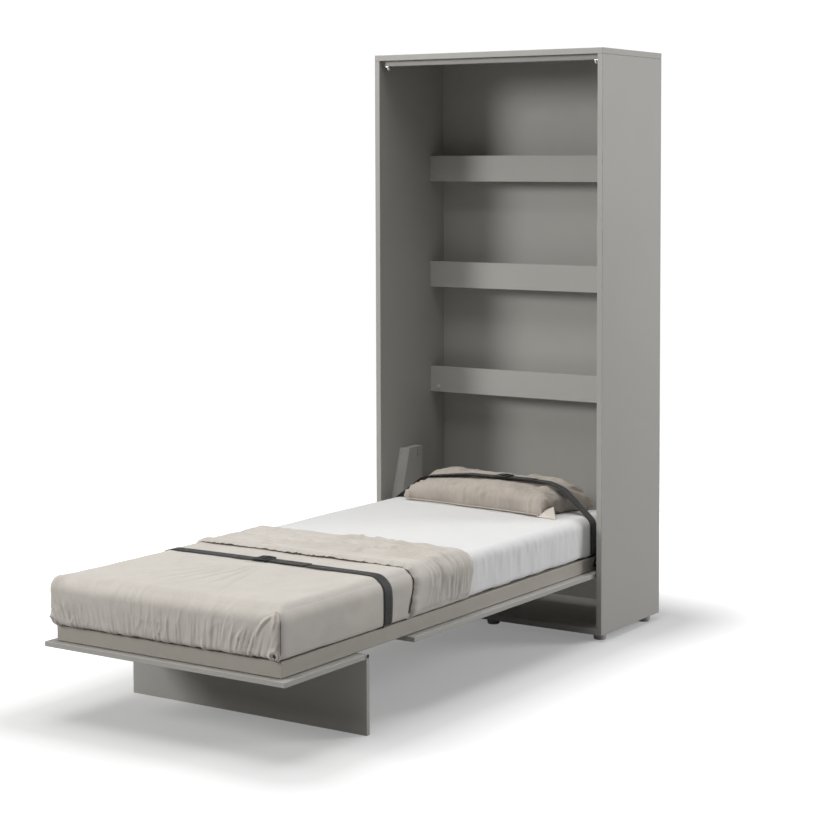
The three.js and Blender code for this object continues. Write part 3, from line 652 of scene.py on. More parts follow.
class Palette:
    """The finishes of the whole bed."""

    CARCASS = Laminate("carcass_laminate", (0.385, 0.375, 0.352))
    BACK = Laminate("back_laminate", (0.37, 0.36, 0.338), roughness=0.55)
    # the front's edges get a stronger painted highlight, partly for wear
    FRONT = Laminate("front_laminate", (0.40, 0.39, 0.367), wear=0.35)
    FRAME = CoatedSteel("frame_powder_coat", (0.43, 0.4, 0.355))
    COVER = MouldedPlastic("cover_plastic", (0.44, 0.43, 0.41), roughness=0.38)
    FOOT = MouldedPlastic("foot_plastic", (0.42, 0.41, 0.39), roughness=0.45)
    # black plastic for the buckles, and the painted shade of the keeper's holes
    BLACK = MouldedPlastic("black_plastic", (0.012, 0.012, 0.013), roughness=0.32)
    NYLON = MouldedPlastic("nylon_plastic", (0.8, 0.79, 0.76), roughness=0.4)
    BUFFER = MouldedPlastic("buffer_plastic", (0.5, 0.49, 0.47), roughness=0.5)
    ZINC = BareMetal("zinc_plated_steel", (0.55, 0.56, 0.58), roughness=0.3)
    DARK_STEEL = BareMetal("blackened_steel", (0.045, 0.046, 0.048), roughness=0.4)
    CHROME = BareMetal("chromed_rod", (0.68, 0.69, 0.7), roughness=0.12)
    VELVET = Velvet("bedspread_velvet", (0.55, 0.513, 0.465))
    PILLOW = Velvet("pillow_velvet", (0.425, 0.38, 0.33), crush=0.12)
    SHEET = Cotton("sheet_cotton", (0.77, 0.768, 0.762))
    TICKING = Cotton("mattress_ticking", (0.62, 0.61, 0.58), thread=0.0011, slub=0.1)
    STRAP = Webbing("strap_webbing", (0.013, 0.0128, 0.013))
    # dark seam cord; along the band's free edge it is partly painted shade
    SEAM = MouldedPlastic("seam_cord", (0.085, 0.07, 0.055), roughness=0.8)
    PILLOW_LINING = Velvet("pillow_lining_velvet", (0.66, 0.615, 0.54), crush=0.05)
    # dark thread for the stitches, and the painted shade in the bedspread corner's curl
    THREAD = MouldedPlastic("sewing_thread", (0.06, 0.06, 0.062), roughness=0.6)
    BIRCH = BirchPly("birch_slats", (0.56, 0.42, 0.26))


# --- shape helpers
def in_scene(name: str, mesh: bpy.types.Mesh, finish: Finish, smooth: bool) -> Piece:
    """Finishes a mesh and puts it in the scene, with its object at the origin.

    Args:
        name: The piece's name.
        mesh: Its mesh.
        finish: What it is finished in.
        smooth: Whether its faces are shaded smooth.

    Returns:
        The new object.
    """
    mesh.materials.append(finish.material())
    mesh.polygons.foreach_set("use_smooth", [smooth] * len(mesh.polygons))
    mesh.update()
    piece = bpy.data.objects.new(name, mesh)
    bpy.context.scene.collection.objects.link(piece)
    return piece


def piece_from(name: str, points: Any, faces: Sequence, finish: Finish,
               smooth: bool = True) -> Piece:
    """Makes a piece from points and faces.

    Args:
        name: The piece's name.
        points: Its points in the row frame.
        faces: Its faces, as point numbers, turning outwards.
        finish: What it is finished in.
        smooth: Whether its faces are shaded smooth.

    Returns:
        The new object, at the origin.
    """
    mesh = bpy.data.meshes.new(name)
    mesh.from_pydata([tuple(point) for point in points], [], [tuple(face) for face in faces])
    return in_scene(name, mesh, finish, smooth)


def piece_from_bmesh(name: str, shape: bmesh.types.BMesh, finish: Finish) -> Piece:
    """Makes a smooth piece from a bmesh, with its normals turned outwards, and frees the bmesh.

    Args:
        name: The piece's name.
        shape: Its shape in the row frame.
        finish: What it is finished in.

    Returns:
        The new object, at the origin.
    """
    bmesh.ops.remove_doubles(shape, verts=shape.verts, dist=1e-6)
    bmesh.ops.recalc_face_normals(shape, faces=shape.faces)
    mesh = bpy.data.meshes.new(name)
    shape.to_mesh(mesh)
    shape.free()
    return in_scene(name, mesh, finish, True)


def grid_quads(rows: int, columns: int) -> Rows:
    """The faces of a grid of points that are numbered row by row.

    Args:
        rows: Points one way.
        columns: Points the other way.

    Returns:
        Rows of four point numbers.
    """
    number = np.arange(rows * columns).reshape(rows, columns)
    corners = [number[:-1, :-1], number[1:, :-1], number[1:, 1:], number[:-1, 1:]]
    return np.stack(corners, -1).reshape(-1, 4)


def bake_modifiers(piece: Piece) -> Piece:
    """Turns a piece's modifiers into its plain mesh.

    Args:
        piece: The piece.

    Returns:
        The same object, with no modifier left.
    """
    evaluated = piece.evaluated_get(bpy.context.evaluated_depsgraph_get())
    mesh = bpy.data.meshes.new_from_object(evaluated, preserve_all_data_layers=True,
                                           depsgraph=bpy.context.evaluated_depsgraph_get())
    piece.modifiers.clear()
    piece.data = mesh
    return piece


def bevelled(piece: Piece, width: float, segments: int = 2) -> Piece:
    """Rounds a piece's sharp edges.

    Args:
        piece: The piece.
        width: The bevel's width.
        segments: Steps in the bevel.

    Returns:
        The piece, with its bevel in its mesh.
    """
    modifier = piece.modifiers.new("rounded_edges", "BEVEL")
    modifier.width, modifier.segments, modifier.limit_method = width, segments, "ANGLE"
    modifier.harden_normals = False
    return bake_modifiers(piece)


def points_of(piece: Piece) -> Rows:
    """A piece's points as rows of three numbers.

    Args:
        piece: The piece.

    Returns:
        One row for each point.
    """
    flat = np.zeros(len(piece.data.vertices) * 3, np.float32)
    piece.data.vertices.foreach_get("co", flat)
    return flat.reshape(-1, 3).astype(float)


def set_points(piece: Piece, points: Rows) -> None:
    """Puts a piece's points in new places."""
    piece.data.vertices.foreach_set("co", points.astype(np.float32).ravel())
    piece.data.update()


def normals_of(piece: Piece) -> Rows:
    """A piece's point normals as rows of three numbers.

    Args:
        piece: The piece.

    Returns:
        One row for each point.
    """
    flat = np.zeros(len(piece.data.vertices) * 3, np.float32)
    piece.data.vertex_normals.foreach_get("vector", flat)
    return flat.reshape(-1, 3).astype(float)


def solidified(piece: Piece, thickness: float) -> Piece:
    """Gives a cloth surface its thickness, inwards from the surface.

    Args:
        piece: The surface.
        thickness: The thickness, in metres.

    Returns:
        The same object, closed.
    """
    modifier = piece.modifiers.new("thickness", "SOLIDIFY")
    modifier.thickness, modifier.offset, modifier.use_rim = thickness, -1.0, True
    return bake_modifiers(piece)


def fade(value: Rows, start: float, end: float) -> Rows:
    """0 at start and 1 at end, with a smooth step between; start may be the larger."""
    t = np.clip((value - start) / (end - start), 0.0, 1.0)
    return t * t * (3.0 - 2.0 * t)


def bell(value: Rows, width: float) -> Rows:
    """1 where value is 0, falling away on both sides over a width."""
    return np.exp(-((value / width) ** 2))


@dataclass(frozen=True)
class LatticeNoise:
    """Smooth noise from -1 to 1 over a plane, the same for the same seed."""

    seed: int
    size: int = 128

    def __call__(self, u: Rows, v: Rows) -> Rows:
        """The noise at each (u, v), whose cells are one unit wide.

        Args:
            u: Places one way.
            v: Places the other way.

        Returns:
            The noise at each place.
        """
        table = np.random.default_rng(self.seed).uniform(-1, 1, (self.size, self.size))
        i, j = np.floor(u).astype(int), np.floor(v).astype(int)
        fu, fv = (t * t * t * (t * (t * 6 - 15) + 10) for t in (u - i, v - j))
        i, j = i % self.size, j % self.size
        i1, j1 = (i + 1) % self.size, (j + 1) % self.size
        low = table[i, j] * (1 - fu) + table[i1, j] * fu
        high = table[i, j1] * (1 - fu) + table[i1, j1] * fu
        return low * (1 - fv) + high * fv

    def layered(self, u: Rows, v: Rows, layers: int = 3) -> Rows:
        """Several layers of the noise, each twice as fine and half as strong."""
        return sum(self(u * 2**k + 7.3 * k, v * 2**k - 3.1 * k) / 2**k for k in range(layers))


@dataclass(frozen=True)
class Crease:
    """One crease in cloth, drawn on the cloth's flat measure."""

    start: tuple[float, float]
    middle: tuple[float, float]
    end: tuple[float, float]
    height: float
    width: float

    def rise(self, flat: Rows) -> Rows:
        """How far the crease lifts the cloth at each flat place.

        Args:
            flat: Rows of (across, along) on the cloth.

        Returns:
            The rise of each row, in metres.
        """
        low = np.minimum(np.minimum(self.start, self.middle), self.end) - 4 * self.width
        high = np.maximum(np.maximum(self.start, self.middle), self.end) + 4 * self.width
        near = np.flatnonzero(((flat > low) & (flat < high)).all(1))
        rise = np.zeros(len(flat))
        if not len(near):
            return rise
        t = np.linspace(0, 1, 9)[:, None]
        a, b, c = (np.array(point) for point in (self.start, self.middle, self.end))
        line = (1 - t) ** 2 * a + 2 * t * (1 - t) * b + t**2 * c
        place = flat[near]
        best, at = np.full(len(near), np.inf), np.zeros(len(near))
        for k in range(8):
            step = line[k + 1] - line[k]
            share = np.clip(((place - line[k]) @ step) / max(step @ step, 1e-12), 0, 1)
            away = np.linalg.norm(place - line[k] - share[:, None] * step, axis=1)
            closer = away < best
            best[closer], at[closer] = away[closer], ((k + share) / 8)[closer]
        body = np.sin(np.pi * np.clip(at, 0.0, 1.0)) ** 0.6
        ridge = bell(best, self.width)
        flank = np.exp(-((best / (2.2 * self.width)) ** 2))
        rise[near] = self.height * body * (1.5 * ridge - 0.5 * flank)
        return rise


def rise_of(creases: Iterable[Crease], flat: Rows) -> Rows:
    """What a set of creases adds up to at each flat place."""
    return sum((crease.rise(flat) for crease in creases), np.zeros(len(flat)))


@dataclass
class ClothBlock:
    """A cover shaped like a block: a grid over the top and sides of a box, rounded at its edges.

    The flat measure has the top as it lies, and each side folded up into the same plane.
    """

    low: Place
    high: Place
    steps: Place
    fine_foot: float = 0.0
    squareness: float = 2.0
    edge: Place = (0.032, 0.032, 0.05)
    under: float = 0.018
    under_radius: float = 0.018
    head: bool = False
    foot: bool = True
    flat: Rows = field(init=False, default=None)
    sharp: Rows = field(init=False, default=None)
    quads: Rows = field(init=False, default=None)
    joined: Rows = field(init=False, default=None)

    @staticmethod
    def _axis(start: float, end: float, step: float) -> Rows:
        """Evenly spaced places from start to end, about a step apart."""
        return np.linspace(start, end, max(2, round(abs(end - start) / step) + 1))

    def _along(self) -> Rows:
        """Places along the cover, closer together near its foot.

        Returns:
            The places along Y.
        """
        start, end = self.low[1], self.high[1]
        if not self.fine_foot:
            return self._axis(start, end, self.steps[1])
        turn = start + self.fine_foot
        near_foot = self._axis(start, turn, self.steps[2])[:-1]
        return np.concatenate([near_foot, self._axis(turn, end, self.steps[1])])

    def _patch(self, kind: str) -> tuple[Rows, Rows, Rows]:
        """One face of the block as a grid.

        Args:
            kind: top, left, right, foot or head.

        Returns:
            Its sharp points, its flat measure and its quads.
        """
        (x0, y0, z0), (x1, y1, z1) = self.low, self.high
        drop = z1 - z0
        down_step = self.steps[2]
        turned_under = self._axis(drop, drop + self.under, down_step)[1:]
        downs = np.concatenate([self._axis(0, drop, down_step), turned_under])
        across = self._axis(x0, x1, self.steps[0])
        if kind == "top":
            first, second = across, self._along()
        elif kind in ("left", "right"):
            first, second = downs, self._along()
        else:
            first, second = across, downs
        a, b = np.meshgrid(first, second, indexing="ij")
        if kind == "top":
            sharp, flat = (a, b, np.full_like(a, z1)), (a, b)
        elif kind in ("left", "right"):
            sign, side = (-1, x0) if kind == "left" else (1, x1)
            tucked = np.maximum(a - drop, 0)
            share = (b - y0) / (y1 - y0)
            start = y0 + tucked * self.foot
            end = y1 - tucked * self.head
            sharp = (side - sign * tucked, start + share * (end - start), z1 - np.minimum(a, drop))
            flat = (side + sign * a, b)
        else:
            sign, end = (-1, y0) if kind == "foot" else (1, y1)
            tucked = np.maximum(b - drop, 0)
            share = (a - x0) / (x1 - x0)
            drawn_in = x0 + tucked + share * (x1 - x0 - 2 * tucked)
            sharp = (drawn_in, end - sign * tucked, z1 - np.minimum(b, drop))
            flat = (a, end + sign * b)
        quads = grid_quads(*a.shape)
        if kind in ("left", "foot"):
            quads = quads[:, ::-1]
        return (np.stack([s.ravel() for s in sharp], 1), np.stack([f.ravel() for f in flat], 1), quads)

    def build(self) -> None:
        """Lays out the grid's sharp points, flat measure and quads."""
        kinds = ["top", "left", "right"] + ["foot"] * self.foot + ["head"] * self.head
        sharp, flat, quads, count = [], [], [], 0
        for kind in kinds:
            points, measure, faces = self._patch(kind)
            sharp.append(points)
            flat.append(measure)
            quads.append(faces + count)
            count += len(points)
        self.sharp, self.flat, self.quads = np.concatenate(sharp), np.concatenate(flat), np.concatenate(quads)

    def rounded(self) -> tuple[Rows, Rows]:
        """The sharp points moved onto the rounded block.

        Returns:
            The places, and the outward normals.
        """
        (x0, y0, z0), (x1, y1, z1) = self.low, self.high
        rx, ry, rz = self.edge
        low = np.array([x0 + rx, y0 + ry * self.foot, z0 + self.under_radius])
        high = np.array([x1 - rx, y1 - ry * self.head, z1 - rz])
        core = np.clip(self.sharp, low, high)
        away = self.sharp - core
        radii = np.tile([rx, ry, rz], (len(away), 1))
        radii[away[:, 2] < 0, 2] = self.under_radius
        unit = away / radii
        power = self.squareness
        level = (np.abs(unit[:, 0]) ** power + np.abs(unit[:, 1]) ** power) ** (1 / power)
        length = np.sqrt(level**2 + unit[:, 2] ** 2)
        level, length = np.maximum(level, 1e-9), np.maximum(length, 1e-9)
        unit = unit / length[:, None]
        level = level / length
        slope = np.stack([np.abs(unit[:, 0]) ** (power - 1) * np.sign(unit[:, 0]) * level ** (2 - power),
                          np.abs(unit[:, 1]) ** (power - 1) * np.sign(unit[:, 1]) * level ** (2 - power),
                          unit[:, 2]], 1) / radii
        return core + unit * radii, slope / np.maximum(np.linalg.norm(slope, axis=1, keepdims=True), 1e-9)

    def piece(self, name: str, finish: Finish, rise: Rows) -> Piece:
        """The cover's outer surface, risen by rise, as one open mesh with its flat measure as a UV map.

        Args:
            name: The piece's name.
            finish: Its finish.
            rise: How far each grid point stands out from the rounded block.

        Returns:
            The new object.
        """
        places, normals = self.rounded()
        moved = places + normals * rise[:, None]
        keys, index = np.unique(np.round(self.sharp, 6), axis=0, return_inverse=True)
        index = index.ravel()
        total = np.zeros((len(keys), 3))
        np.add.at(total, index, moved)
        total /= np.bincount(index, minlength=len(keys))[:, None]
        faces = index[self.quads]
        self.joined = index
        result = piece_from(name, total, faces, finish)
        layer = result.data.uv_layers.new(name="cloth")
        layer.data.foreach_set("uv", self.flat[self.quads.ravel()].astype(np.float32).ravel())
        return result


def swept(name: str, line: Rows, radius: float, finish: Finish, sides: int = 8) -> Piece:
    """A round cord along a line, closed at both ends.

    Args:
        name: The piece's name.
        line: Rows of places along its middle.
        radius: The cord's radius.
        finish: Its finish.
        sides: Sides of its section.

    Returns:
        The cord.
    """
    tangent = np.gradient(line, axis=0)
    tangent /= np.maximum(np.linalg.norm(tangent, axis=1, keepdims=True), 1e-9)
    reference = np.array([0.31, 0.72, 0.62])
    first = np.cross(tangent, reference)
    first /= np.maximum(np.linalg.norm(first, axis=1, keepdims=True), 1e-9)
    second = np.cross(tangent, first)
    turns = np.arange(sides) * math.tau / sides
    rings = (line[:, None, :] + radius * (np.cos(turns)[None, :, None] * first[:, None, :]
                                          + np.sin(turns)[None, :, None] * second[:, None, :]))
    count = len(line)
    number = np.arange(count * sides).reshape(count, sides)
    after = np.roll(number, -1, axis=1)
    quads = np.stack([number[:-1], after[:-1], after[1:], number[1:]], -1).reshape(-1, 4)
    faces = [*quads.tolist(), number[0][::-1].tolist(), number[-1].tolist()]
    return piece_from(name, rings.reshape(-1, 3), faces, finish)


# --- repeats by Geometry Nodes
class Repeats:
    """Small shapes repeated at points or along a line by Geometry Nodes."""

    @staticmethod
    def _tree(name: str, inputs: Sequence[tuple[str, str, Any]]) -> tuple[bpy.types.NodeTree, Nodes, Any]:
        """Starts a Geometry Nodes tree with named inputs.

        Args:
            name: The tree's name.
            inputs: Name, socket type and default of each input after the geometry.

        Returns:
            The tree, its writer and its input sockets.
        """
        tree = bpy.data.node_groups.new(name, "GeometryNodeTree")
        tree.interface.new_socket(name="Geometry", in_out="INPUT", socket_type="NodeSocketGeometry")
        for label, kind, default in inputs:
            socket = tree.interface.new_socket(name=label, in_out="INPUT", socket_type=kind)
            if default is not None:
                socket.default_value = default
        tree.interface.new_socket(name="Geometry", in_out="OUTPUT", socket_type="NodeSocketGeometry")
        nodes = Nodes(tree)
        return tree, nodes, nodes.add("NodeGroupInput").outputs

    @staticmethod
    def _random(nodes: Nodes, low: Any, high: Any, seed: Any) -> Socket:
        """A seeded random number for each instance.

        Args:
            nodes: The tree's writer.
            low: The output that gives the least.
            high: The output that gives the most.
            seed: The output that gives the seed.

        Returns:
            The random number.
        """
        node = nodes.add("FunctionNodeRandomValue", data_type="FLOAT")
        for name, value in (("Min", low), ("Max", high), ("Seed", seed)):
            socket = next(item for item in node.inputs if item.name == name and item.enabled)
            nodes.tree.links.new(value, socket)
        return next(item for item in node.outputs if item.enabled)

    @staticmethod
    def _end(nodes: Nodes, instances: Any, finish: Any) -> None:
        """Ends a tree with its instances made real and finished.

        Args:
            nodes: The tree's writer.
            instances: The output that gives the instances.
            finish: The output that gives the material.
        """
        real = nodes.add("GeometryNodeRealizeInstances", {"Geometry": instances}).outputs[0]
        done = nodes.add("GeometryNodeSetMaterial", {"Geometry": real, "Material": finish}).outputs[0]
        nodes.add("NodeGroupOutput", {"Geometry": done})

    @classmethod
    def at_points_tree(cls) -> bpy.types.NodeTree:
        """A tree that puts a shape on each point, facing one way and turned at random.

        Returns:
            The tree.
        """
        found = bpy.data.node_groups.get("Fasteners At Points")
        if found:
            return found
        tree, nodes, given = cls._tree("Fasteners At Points", [
            ("Shape", "NodeSocketObject", None), ("Facing", "NodeSocketVector", (0, 0, 1)),
            ("Turn", "NodeSocketFloat", math.pi), ("Seed", "NodeSocketInt", 1),
            ("Finish", "NodeSocketMaterial", None)])
        shape = nodes.add("GeometryNodeObjectInfo", {"Object": given["Shape"]}).outputs["Geometry"]
        facing = nodes.add("FunctionNodeAlignRotationToVector", {"Vector": given["Facing"]},
                           axis="Z").outputs[0]
        placed = nodes.add("GeometryNodeInstanceOnPoints",
                           {"Points": given["Geometry"], "Instance": shape, "Rotation": facing}).outputs[0]
        other_way = nodes.math("MULTIPLY", given["Turn"], -1.0)
        angle = cls._random(nodes, other_way, given["Turn"], given["Seed"])
        about_z = nodes.add("ShaderNodeCombineXYZ", {"Z": angle}).outputs[0]
        turned = nodes.add("GeometryNodeRotateInstances",
                           {"Instances": placed, "Rotation": about_z}).outputs[0]
        cls._end(nodes, turned, given["Finish"])
        return tree

    @classmethod
    def along_line_tree(cls) -> bpy.types.NodeTree:
        """A tree that lays a shape along a line at an even pitch, its X axis following the line.

        Returns:
            The tree.
        """
        found = bpy.data.node_groups.get("Stitches Along Line")
        if found:
            return found
        tree, nodes, given = cls._tree("Stitches Along Line", [
            ("Shape", "NodeSocketObject", None), ("Pitch", "NodeSocketFloat", 0.004),
            ("Size Change", "NodeSocketFloat", 0.1), ("Seed", "NodeSocketInt", 1),
            ("Finish", "NodeSocketMaterial", None)])
        curve = nodes.add("GeometryNodeMeshToCurve", {"Mesh": given["Geometry"]}).outputs[0]
        even = nodes.add("GeometryNodeResampleCurve", {"Curve": curve, "Length": given["Pitch"]},
                         mode="LENGTH").outputs[0]
        shape = nodes.add("GeometryNodeObjectInfo", {"Object": given["Shape"]}).outputs["Geometry"]
        tangent = nodes.add("GeometryNodeInputTangent").outputs[0]
        along = nodes.add("FunctionNodeAlignRotationToVector", {"Vector": tangent}, axis="X").outputs[0]
        points = nodes.add("GeometryNodeCurveToPoints", {"Curve": even}, mode="EVALUATED").outputs[0]
        placed = nodes.add("GeometryNodeInstanceOnPoints",
                           {"Points": points, "Instance": shape, "Rotation": along}).outputs[0]
        least, most = (nodes.math(way, 1.0, given["Size Change"]) for way in ("SUBTRACT", "ADD"))
        size = cls._random(nodes, least, most, given["Seed"])
        sized = nodes.add("GeometryNodeScaleInstances", {"Instances": placed, "Scale": size}).outputs[0]
        cls._end(nodes, sized, given["Finish"])
        return tree

    @staticmethod
    def make(name: str, tree: bpy.types.NodeTree, points: Sequence, lines: Sequence, values: dict[str, Any],
             shape: Piece, finish: Finish, body: Body) -> Piece:
        """Runs a tree over points or lines and keeps the result as a plain mesh.

        Args:
            name: The piece's name.
            tree: The Geometry Nodes tree.
            points: The points in the row frame.
            lines: Pairs of point numbers that make lines.
            values: The tree's other inputs, by name.
            shape: The object that is repeated; it is deleted afterwards.
            finish: The finish of the result.
            body: The body it rides on.

        Returns:
            The piece, riding on its body.
        """
        mesh = bpy.data.meshes.new(name)
        mesh.from_pydata([tuple(p) for p in points], [tuple(line) for line in lines], [])
        piece = bpy.data.objects.new(name, mesh)
        bpy.context.scene.collection.objects.link(piece)
        modifier = piece.modifiers.new("repeat", "NODES")
        modifier.node_group = tree
        sockets = tree.interface.items_tree
        identifiers = {item.name: item.identifier for item in sockets if item.in_out == "INPUT"}
        for label, value in {**values, "Shape": shape, "Finish": finish.material()}.items():
            modifier[identifiers[label]] = value
        bake_modifiers(piece)
        bpy.data.objects.remove(shape)
        if not len(piece.data.polygons):
            raise ValueError(f"{name} came out empty")
        piece.data.polygons.foreach_set("use_smooth", [True] * len(piece.data.polygons))
        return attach(piece, body.value)


def lathe_shape(name: str, profile: Sequence[tuple[float, float]], sides: int,
                finish: Finish) -> Piece:
    """A shape turned about Z from (radius, height) points that start and end on the axis.

    Args:
        name: The shape's name.
        profile: The points, from the lowest up.
        sides: How many sides it has.
        finish: Its finish.

    Returns:
        The shape, about the origin.
    """
    shape = bmesh.new()
    rings = []
    for radius, height in profile:
        if radius < 1e-9:
            rings.append([shape.verts.new((0, 0, height))])
        else:
            rings.append([shape.verts.new((radius * math.cos(a), radius * math.sin(a), height))
                          for a in (math.tau * k / sides for k in range(sides))])
    for below, above in zip(rings, rings[1:]):
        for k in range(sides):
            corners = [below[k % len(below)], below[(k + 1) % len(below)], above[(k + 1) % len(above)],
                       above[k % len(above)]]
            unique = list(dict.fromkeys(corners))
            if len(unique) > 2:
                shape.faces.new(unique)
    return piece_from_bmesh(name, shape, finish)


def screw_head(radius: float, finish: Finish) -> Piece:
    """A pan-head screw with a recess, facing +Z, to be repeated.

    Args:
        radius: The head's radius.
        finish: Its finish.

    Returns:
        The head, about the origin.
    """
    shares = ((0, -0.1), (1, -0.1), (1, 0.15), (0.8, 0.42), (0.42, 0.52), (0.3, 0.2), (0, 0.18))
    return lathe_shape("screw_head", [(out * radius, up * radius) for out, up in shares], 12, finish)


# --- sub-assemblies
def paint(nodes: Iterable[str], finish: Finish) -> None:
    """Gives CAD nodes a finish.

    Args:
        nodes: Their names.
        finish: The finish.
    """
    for name in nodes:
        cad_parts[name].data.materials.clear()
        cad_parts[name].data.materials.append(finish.material())


def both_sides(*stems: str) -> list[str]:
    """Each stem with _left and _right."""
    return [f"{stem}_{side.label}" for stem in stems for side in Side]


@dataclass
class Cabinet:
    """The tall carcass with its shelves, feet and small fittings."""

    nail_pitch: float = 0.12
    nail_radius: float = 0.0035
    roller_radius: float = 0.0065
    roller_length: float = 0.0075
    socket_size: float = 0.006
    socket_depth: float = 0.0008

    def dress(self) -> None:
        """Finishes the boards and fittings that come from the frame.
        """
        paint([*both_sides("side_panel"), "top_panel", "bottom_panel", "top_rail"], Palette.CARCASS)
        levels = ("lower", "middle", "upper")
        paint([f"shelf_{part}_{level}" for part in ("lip", "board") for level in levels], Palette.CARCASS)
        paint(["back_panel"], Palette.BACK)
        paint([f"foot_{row}_{column}" for row in ("front", "rear") for column in ("left", "centre", "right")],
              Palette.FOOT)
        paint(["wall_rail", "side_keeper", *both_sides("top_catch")], Palette.ZINC)
        paint(["shelf_bumper"], Palette.BUFFER)

    def back_nails(self) -> Piece:
        """Nails that hold the back panel, in rows just inside its edges.

        Returns:
            The nails as one piece.
        """
        low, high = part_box("back_panel")
        inset = 0.006
        rows = []
        for x in (low.x + inset, high.x - inset):
            count = round((high.z - low.z) / self.nail_pitch)
            rows += [(x, high.y, low.z + (k + 0.5) * (high.z - low.z) / count) for k in range(count)]
        for z in (low.z + inset, high.z - inset):
            count = round((high.x - low.x) / self.nail_pitch)
            rows += [(low.x + (k + 0.5) * (high.x - low.x) / count, high.y, z) for k in range(count)]
        values = {"Facing": (0, 1, 0), "Turn": math.pi, "Seed": 4}
        return Repeats.make("back_nails", Repeats.at_points_tree(), rows, [], values,
                            screw_head(self.nail_radius, Palette.ZINC), Palette.ZINC, Body.CABINET)

    def catch_rollers(self) -> None:
        """The white nylon rollers on the inner ends of the top catches."""
        for side in Side:
            low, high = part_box(f"top_catch_{side.label}")
            inner = low.x if side is Side.RIGHT else high.x
            outward = 1 if side is Side.RIGHT else -1
            radius, length = self.roller_radius, self.roller_length
            profile = [(0, 0), (0.8 * radius, 0), (radius, 0.15 * length), (radius, 0.85 * length),
                       (0.8 * radius, length), (0, length)]
            roller = lathe_shape(f"catch_roller_{side.label}", profile, 24, Palette.NYLON)
            turn = Matrix.Rotation(math.pi / 2 * outward, 4, "Y")
            middle = Matrix.Translation((inner, (low.y + high.y) / 2, (low.z + high.z) / 2))
            roller.data.transform(middle @ turn)
            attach(roller, Body.CABINET.value)

    def keeper_sockets(self) -> None:
        """Black squares on the side keeper's face: painted shade for its two square holes."""
        low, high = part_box("side_keeper")
        size, depth = self.socket_size, self.socket_depth
        for number, share in enumerate((0.28, 0.72)):
            shape = bmesh.new()
            bmesh.ops.create_cube(shape, size=1.0)
            middle = Vector((low.x - depth / 2, (low.y + high.y) / 2, low.z + share * (high.z - low.z)))
            for vertex in shape.verts:
                vertex.co = middle + vertex.co * Vector((depth, size, size))
            # painted shade: a thin black square stands on the keeper over each hole
            socket = piece_from_bmesh(f"keeper_socket_{number}", shape, Palette.BLACK)
            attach(bevelled(socket, 0.0002), Body.CABINET.value)

    def build(self) -> None:
        """Builds and dresses the cabinet."""
        self.dress()
        self.back_nails()
        self.catch_rollers()
        self.keeper_sockets()


@dataclass
class TurningMechanism:
    """The plates, covers, bushes, axles, lift arms and gas springs."""

    def build(self) -> None:
        """Finishes the mechanism."""
        paint(both_sides("mechanism_plate", "lift_arm", "gas_cylinder"), Palette.DARK_STEEL)
        paint(both_sides("mechanism_cover"), Palette.COVER)
        paint(both_sides("pivot_bush", "pivot_axle"), Palette.ZINC)
        paint(both_sides("gas_rod"), Palette.CHROME)


@dataclass
class BedFrame:
    """The steel frame, its slats, the front panel under it and the folding leg."""

    def build(self) -> None:
        """Finishes the frame, slats, front panel and leg."""
        paint([*both_sides("side_rail"), "foot_rail", "head_rail"], Palette.FRAME)
        paint(["slatted_base"], Palette.BIRCH)
        paint(["front_strip_foot", "front_panel_main", "leg_panel"], Palette.FRONT)
        paint(both_sides("leg_bracket", "leg_pin"), Palette.DARK_STEEL)


